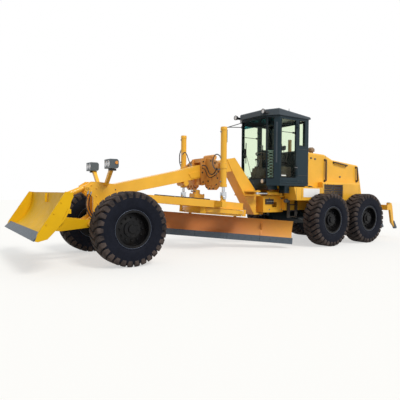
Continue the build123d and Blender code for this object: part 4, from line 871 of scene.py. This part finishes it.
def head_lamps():
    """The four clear lenses with their bright rings, and the side indicators."""
    shape = Shape()
    x, y, z = LAMP_FACE
    ring = [(0.06, -0.016), (0.06, 0.004), (0.055, 0.006), (0.052, 0.001), (0.052, -0.016)]
    glass = [(0.001, 0.002), (0.028, 0.0), (0.046, -0.005), (0.053, -0.01), (0.053, -LENS_PIT),
             (0.001, -LENS_PIT)]
    for sign in (1, -1):
        for reach in (LENS_REACH, -LENS_REACH):
            place = Matrix.Translation((x, sign * (y + reach), z)) @ ALONG_X
            shape.turned(ring, place, 40, 1).turned(glass, place, 40)
        side = sign * (y + 0.15)
        shape.bar((x - 0.125, side, z + 0.02), (x - 0.125, side + sign * 0.014, z + 0.02), 0.03, 28, 2)
        shape.box((x - 0.17, sign * (y - 0.03), z - 0.125), (x - 0.03, sign * (y + 0.03), z - 0.086), 3)
    shape.piece("head_lamp_lenses", "front_frame", "clear_lens", "chrome", "amber_lens", "dark_paint",
                bevel=0.001)


def lamp_posts():
    """Painted plates on the lamp posts' faces."""
    shape = Shape()
    outline = [(0.163, 1.462), (0.249, 1.456), (LAMP_FACE[1] + 0.013, 1.774), (LAMP_FACE[1] - 0.099, 1.774)]
    for sign in (1, -1):
        face = facing((POST_X[0] - 0.003, 0, 0), (0, sign, 0))
        shape.plate(outline, face, sign * (POST_X[1] - POST_X[0] + 0.006))
    shape.piece("lamp_posts", "front_frame", "yellow_paint", bevel=0.004)


def head_details():
    """Bolts and pin caps on the head, the axle and the front bracket."""
    shape = Shape()
    for x, z in ((3.778, 1.455), (3.777, 1.331), (3.7, 1.2), (3.79, 1.1), (3.6, 1.2), (3.6, 1.38)):
        shape.bolt((x, 0.15, z), LEFT, 0.018, 1)
    for x, z in ((4.0, 1.4), (4.0, 1.25), (3.97, 1.1), (3.95, 0.95), (4.1, 1.46)):
        shape.bolt((x, 0.2, z), LEFT, 0.015)
    for x, low, high, z, radius, size in (
        (4.165, 0.198, 0.216, 1.415, 0.042, 0.016), (4.15, 0.284, 0.3, 0.72, 0.048, 0.018),
    ):
        shape.bar((x, low, z), (x, high, z), radius, 28).bolt((x, high - 0.002, z), LEFT, size)
    for y in (0.3, 0.45, 0.6):
        shape.bolt((3.79, y, 0.86), AHEAD, 0.014)
    shape.both_sides()
    shape.bar((3.862, 0, 0.89), (3.878, 0, 0.89), 0.075, 32).bolt((3.876, 0, 0.89), AHEAD, 0.022)
    shape.piece("head_fasteners", "front_frame", "yellow_paint", "dark_paint", bevel=0.002)


def saddle_details():
    """The saddle's bolts."""
    shape = Shape()
    for y, z in ((0.24, 1.46), (0.36, 1.43), (0.5, 1.43), (0.62, 1.52), (0.66, 1.66), (0.69, 1.8),
                 (0.3, 1.6), (0.56, 2.0), (0.4, 2.06)):
        shape.bolt((SADDLE_FACE_X, y, z), AHEAD, 0.016)
    for x, z in ((1.28, 1.62), (1.5, 1.58), (1.3, 2.08), (1.5, 2.05), (1.29, 1.85), (1.52, 1.8)):
        shape.bolt((x, 0.212, z), LEFT, 0.016)
    shape.both_sides()
    shape.piece("saddle_fasteners", "front_frame", "dark_paint", bevel=0.002)


def lift_details(side, sign):
    """A lift cylinder's end cap, ports and rod seal."""
    shape = Shape()
    x, y = SADDLE_FACE_X - 0.03, sign * LIFT_Y
    axis = Matrix.Translation((x, y, 0))
    cap = [(0.001, 2.762), (0.07, 2.762), (0.0735, 2.755), (0.0735, 2.7), (0.0685, 2.695), (0.066, 2.7)]
    shape.turned(cap, axis, 40, closed=False)
    for z in (2.66, 2.1, 1.58):
        shape.bar((x + 0.062, y, z), (x + 0.092, y, z), 0.017, 6, 1)
    shape.turned([(0.046, 1.461), (0.062, 1.461), (0.062, 1.47), (0.046, 1.47)], axis, 36, 1)
    shape.piece(f"lift_fittings_{side}", f"lift_cylinder_{side}", "yellow_paint", "steel", bevel=0.001)


head_lamps()
lamp_posts()
head_details()
saddle_details()
for lift_side, lift_sign in SIDES:
    lift_details(lift_side, lift_sign)


# Drawbar, circle and blade


def drawbar_details():
    """The pipes along the drawbar's left leg, the guide shoes' bolts and the drive's fittings."""
    shape = Shape()
    start, end = Vector((-0.72, 0.095, DRAW_TOP + 0.012)), Vector((-1.86, 0.545, DRAW_TOP + 0.012))
    aside = (end - start).normalized().cross(Vector(UP))
    for offset in (-0.034, 0.0, 0.034):
        shape.bar(start + aside * offset, end + aside * offset, 0.011, 12, 1)
    for share in (0.08, 0.36, 0.64, 0.92):
        middle = start.lerp(end, share)
        shape.bar(middle - aside * 0.055, middle + aside * 0.055, 0.014, 8)
    for turn in (38, 142, 218, 322):
        place = Matrix.Translation((CIRCLE_X, 0, 0)) @ Matrix.Rotation(radians(turn), 4, "Z")
        for y in (-0.035, 0.035):
            shape.bolt(place @ Vector((0.765, y, 0.182)), UP, 0.016)
    for dx, dy in ((-0.14, 0.1), (0.09, 0.1), (-0.03, 0.105)):
        for y in (-dy, dy):
            shape.bolt((DRIVE_X + dx, y, DRAW_TOP + 0.13), UP, 0.014)
    for y in (-0.05, 0.05):
        shape.bar((DRIVE_X, y, DRAW_TOP + 0.185), (DRIVE_X + 0.115, y, DRAW_TOP + 0.185), 0.018, 6)
    shape.bar((DRIVE_X, 0, DRAW_TOP + 0.218), (DRIVE_X, 0, DRAW_TOP + 0.228), 0.062, 32)
    shape.mesh.transform(DRAW)
    shape.piece("drawbar_fittings", "drawbar", "steel", "hose", bevel=0.001)


def circle_details():
    """Bolts round the ring and on the blade's brackets."""
    shape = Shape()
    for i in range(24):
        a = radians(15 * i + 7)
        shape.bolt((0.712 * cos(a), 0.712 * sin(a), 0.06), (0, 0, -1), 0.01)
    for y in (-0.56, 0.56):
        for z in (BLADE_TOP - 0.085, BLADE_TOP - 0.165, BLADE_FOOT + 0.035, BLADE_FOOT + 0.115):
            for dy in (-0.06, 0.06):
                shape.bolt((-0.475, y + dy, z), (-1, 0, 0), 0.014)
    shape.mesh.transform(CIRCLE)
    shape.piece("circle_fasteners", "circle", "steel", bevel=0.001)


def blade_details():
    """The cutting edge's bolts, and the seams between its lengths."""
    shape = Shape()
    for i in range(26):
        y = -BLADE_HALF + 0.07 + i * (2 * BLADE_HALF - 0.14) / 25
        shape.bolt((EDGE_FACE_X, y, BLADE_FOOT + 0.095), AHEAD, 0.014)
        shape.bolt((EDGE_FACE_X - 0.052, y, BLADE_FOOT + 0.095), (-1, 0, 0), 0.014)
    for i in range(1, 5):
        y = -BLADE_HALF + i * 2 * BLADE_HALF / 5
        shape.box((EDGE_FACE_X - 0.003, y - 0.003, BLADE_FOOT + 0.004),
                  (EDGE_FACE_X + 0.001, y + 0.003, BLADE_FOOT + 0.15), 1)
    shape.mesh.transform(CIRCLE)
    shape.piece("blade_bolts", "blade", "edge_steel", "rubber_trim", bevel=0.001)


drawbar_details()
circle_details()
blade_details()


# Front blade and ripper


def front_blade_details():
    """The edge's bolts, the rib on the plate's face, the cheeks' bolts, and weld beads along the arc."""
    shape = Shape()
    place = facing((5.274, -FRONT_BLADE_HALF, 0.692), LEFT, (0.7, 0, -0.62))
    out = place.to_3x3() @ Vector(UP)
    for i in range(16):
        along = 0.09 + i * (2 * FRONT_BLADE_HALF - 0.18) / 15
        shape.bolt(place @ Vector((along, 0.085, 0)), -out, 0.015)
        shape.bolt(place @ Vector((along, 0.085, 0.024)), out, 0.01)
    shape.box((4.872, -0.02, 1.135), (4.915, 0.02, 1.3), 1)
    for sign in (-1, 1):
        for x, z in ((4.99, 1.16), (5.1, 0.99), (5.21, 0.82)):
            shape.bolt((x, sign * FRONT_BLADE_HALF, z), (0, sign, 0), 0.012, 1)
    shape.piece("front_blade_fittings", "front_blade", "edge_steel", "blade_paint", bevel=0.002)
    weld = Shape()
    for y in (FRONT_BLADE_HALF - 0.013, -FRONT_BLADE_HALF + 0.013):
        for (x0, z0), (x1, z1) in zip(PLATE_ARC, PLATE_ARC[1:]):
            weld.bar((x0 + 0.008, y, z0 + 0.002), (x1 + 0.008, y, z1 + 0.002), 0.0128, 12)
    weld.piece("front_blade_welds", "front_blade", "blade_paint")


def ripper_details():
    """Hardened points on the tines, their pins and the shanks' wedges."""
    shape = Shape()
    half, tine = 0.9, 0.06
    step = (2 * half - tine) / 4
    outline = [(-5.16, 0.492), (-5.212, 0.53), (-5.356, 0.332), (-5.3575, 0.29), (-5.276, 0.281)]
    for i in range(5):
        y = -half + i * step
        face = facing((0, y + tine + 0.0095, 0), AHEAD)
        shape.plate(outline, face, tine + 0.019)
        shape.bar((-5.205, y - 0.016, 0.44), (-5.205, y + tine + 0.016, 0.44), 0.012, 12)
        shape.box((-5.0, y + 0.005, 1.018), (-4.9, y + tine - 0.005, 1.092))
        for x in (-4.935, -4.885):
            shape.bolt((x, y + tine, 1.055), LEFT, 0.012)
    for y in (-0.392, 0.392):
        shape.bar((-4.38, y - 0.006, 0.76), (-4.38, y + 0.006, 0.76), 0.045, 24)
    shape.piece("ripper_points", "ripper", "edge_steel", bevel=0.002)


def step_treads():
    """Raised bars on the three steps of each side."""
    shape = Shape()
    for z in (0.745, 0.9, 1.055):
        for i in range(10):
            x = -1.235 + 0.03 * i
            shape.box((x, 0.484, z - 0.001), (x + 0.008, 0.556, z + 0.004))
    shape.both_sides()
    shape.piece("step_treads", "rear_frame", "dark_paint", bevel=0.001)


front_blade_details()
ripper_details()
step_treads()


# Hoses, each a free hose from one fitting to the next


def hose(name, body, diameter, length, finish, points):
    """A hose along the points, with a steel fitting at each end."""
    data = bpy.data.curves.new(name, "CURVE")
    data.dimensions = "3D"
    data.bevel_depth = diameter / 2
    data.bevel_resolution = 5
    data.use_fill_caps = True
    line = data.splines.new("NURBS")
    line.points.add(len(points) - 1)
    for point, at in zip(line.points, points):
        point.co = (*at, 1)
    line.order_u = 3
    line.use_endpoint_u = True
    line.resolution_u = 8
    data.materials.append(MATERIALS[finish])
    piece = linked(name, data)
    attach(piece, body)
    ends = Shape()
    for start, ahead in ((points[0], points[1]), (points[-1], points[-2])):
        start, run = Vector(start), (Vector(ahead) - Vector(start)).normalized()
        ends.bar(start - run * diameter * 0.6, start + run * diameter * 1.3, diameter * 0.68, 6)
        ends.bar(start + run * diameter * 1.2, start + run * diameter * 2.6, diameter * 0.6, 16)
    ends.piece(f"{name}_ends", body, "steel", bevel=0.001)


# Name, body, diameter, length, finish and route of each
HOSES = (
    ("hose_saddle_near", "front_frame", 0.024, 0.78, "hose",
     ((1.52, 0.165, 1.945), (1.53, 0.25, 1.965), (1.53, 0.36, 1.945), (1.52, 0.42, 1.87), (1.51, 0.45, 1.78),
      (1.5, 0.54, 1.735), (1.49, 0.63, 1.76), (1.48, 0.68, 1.83), (1.455, 0.7, 1.9), (1.42, 0.7, 1.94))),
    ("hose_saddle_low", "front_frame", 0.018, 0.63, "hose",
     ((1.52, 0.165, 1.9), (1.53, 0.23, 1.905), (1.53, 0.31, 1.87), (1.52, 0.36, 1.8), (1.51, 0.4, 1.71),
      (1.5, 0.48, 1.67), (1.48, 0.57, 1.69), (1.45, 0.62, 1.74), (1.42, 0.63, 1.77))),
    ("sleeve_near", "lift_cylinder_left", 0.024, 0.72, "sleeve",
     ((1.44, 0.8, 2.11), (1.452, 0.75, 2.165), (1.462, 0.675, 2.19), (1.47, 0.6, 2.16),
      (1.475, 0.555, 2.085), (1.475, 0.545, 1.995), (1.472, 0.575, 1.91), (1.465, 0.64, 1.855),
      (1.452, 0.72, 1.84), (1.435, 0.78, 1.855))),
    ("hose_far_inner", "lift_cylinder_right", 0.022, 0.59, "hose",
     ((1.455, -0.775, 2.3), (1.465, -0.7, 2.335), (1.475, -0.61, 2.325), (1.48, -0.535, 2.265),
      (1.48, -0.485, 2.18), (1.475, -0.44, 2.1), (1.462, -0.4, 2.03), (1.44, -0.37, 1.985))),
    ("hose_far_outer", "lift_cylinder_right", 0.024, 0.47, "hose",
     ((1.425, -0.89, 2.42), (1.44, -0.93, 2.35), (1.445, -0.945, 2.27), (1.445, -0.945, 2.19),
      (1.445, -0.94, 2.11), (1.44, -0.915, 2.04), (1.43, -0.88, 1.98))),
    ("hose_front_upper", "front_frame", 0.022, 0.65, "hose",
     ((4.165, 0.215, 1.335), (4.19, 0.235, 1.27), (4.212, 0.25, 1.2), (4.222, 0.25, 1.125),
      (4.22, 0.25, 1.05), (4.2, 0.25, 0.975), (4.165, 0.25, 0.905), (4.125, 0.248, 0.845),
      (4.085, 0.24, 0.79), (4.05, 0.225, 0.745))),
    ("hose_front_lower", "front_frame", 0.022, 0.63, "hose",
     ((4.11, 0.215, 1.32), (4.135, 0.235, 1.255), (4.156, 0.25, 1.185), (4.166, 0.25, 1.11),
      (4.162, 0.25, 1.035), (4.142, 0.25, 0.965), (4.11, 0.25, 0.9), (4.072, 0.248, 0.84),
      (4.032, 0.24, 0.788), (3.995, 0.225, 0.745))),
)
for hose_row in HOSES:
    hose(*hose_row)


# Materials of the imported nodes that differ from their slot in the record
OWN_FINISH = {
    "cab_roof": "roof_paint", "controls": "console", "circle_drive": "yellow_paint",
    # The mouldboard's and the saddle's finishes are painted shade.
    "mouldboard": "board_paint", "front_blade": "blade_paint", "headlamps": "lamp_paint",
    "saddle": "saddle_paint", "tandem_drive": "cab_paint", "exhaust": "cast_iron",
}


def finish_nodes():
    """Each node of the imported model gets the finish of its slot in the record, or its own."""
    for row in frame["record"]["subparts"]:
        finish = MATERIALS[OWN_FINISH.get(row["node"], row["material_slot"])]
        piece = frame["nodes"][row["node"]]
        for holder in piece.material_slots:
            holder.material = finish
        if not piece.material_slots:
            piece.data.materials.append(finish)


finish_nodes()


# Floor, light and camera
FLOOR_HALF = 60.0
FLOOR_GLOW = 0.55
SUN_ENERGY = 1.9
SUN_FROM = (-0.1, 0.72, 0.69)
SKY_LIGHT = 0.62


def stage():
    """A pale floor, which glows for the camera and for reflections."""
    data = bpy.data.meshes.new("floor")
    corners = [(x * FLOOR_HALF, y * FLOOR_HALF, 0) for x, y in ((-1, -1), (1, -1), (1, 1), (-1, 1))]
    data.from_pydata(corners, [], [(0, 1, 2, 3)])
    linked("floor", data)
    material = bpy.data.materials.new("pale_floor")
    material.use_nodes = True
    tree = material.node_tree
    tree.nodes.remove(tree.nodes["Principled BSDF"])
    matt = add_node(tree, "ShaderNodeBsdfDiffuse", {"Color": (0.42, 0.42, 0.41, 1)})
    glow = add_node(tree, "ShaderNodeEmission", {
        "Color": (1, 1, 0.99, 1), "Strength": seen_rays(tree, FLOOR_GLOW)})
    both = add_node(tree, "ShaderNodeAddShader", {0: matt.outputs[0], 1: glow.outputs[0]})
    feed(tree, tree.nodes["Material Output"], {"Surface": both.outputs[0]})
    data.materials.append(material)


def seen_rays(tree, strength):
    """strength for camera, glossy and transmission rays, and 0 for the rays that light the object."""
    rays = tree.nodes.new("ShaderNodeLightPath")
    total = rays.outputs["Is Camera Ray"]
    for kind in ("Is Glossy Ray", "Is Transmission Ray"):
        total = combine(tree, "MAXIMUM", total, rays.outputs[kind])
    return remap(tree, total, 0, 1, 0, strength)


def light():
    """An even white world, and a soft sun from the left."""
    world = bpy.data.worlds.new("studio")
    SCENE.world = world
    world.use_nodes = True
    tree = world.node_tree
    feed(tree, tree.nodes["Background"], {
        "Color": (1, 1, 1, 1), "Strength": remap(tree, seen_rays(tree, 1.0), 0, 1, SKY_LIGHT, 1.0)})
    sun = bpy.data.lights.new("key", "SUN")
    sun.energy = SUN_ENERGY
    sun.angle = radians(18)
    sun.color = (1.0, 0.97, 0.92)
    linked("key", sun).rotation_euler = Vector(SUN_FROM).to_track_quat("Z", "Y").to_euler()


def camera():
    """The photograph's camera, aimed by yaw and pitch and rolled about its own axis."""
    data = bpy.data.cameras.new("camera")
    data.sensor_width = SENSOR_MM
    data.lens = FOCAL_PIXELS / PHOTO_PIXELS * SENSOR_MM
    data.clip_end = 200
    eye = linked("camera", data)
    level = cos(CAMERA_PITCH)
    ahead = Vector((cos(CAMERA_YAW) * level, sin(CAMERA_YAW) * level, sin(CAMERA_PITCH)))
    right = ahead.cross(Vector(UP)).normalized()
    up = right.cross(ahead)
    tilted_right = right * cos(CAMERA_ROLL) + up * sin(CAMERA_ROLL)
    tilted_up = up * cos(CAMERA_ROLL) - right * sin(CAMERA_ROLL)
    turn = Matrix((tilted_right, tilted_up, -ahead)).transposed().to_4x4()
    eye.matrix_world = Matrix.Translation(CAMERA_AT) @ turn
    SCENE.camera = eye


stage()
light()
camera()
SCENE.view_settings.view_transform = "Standard"
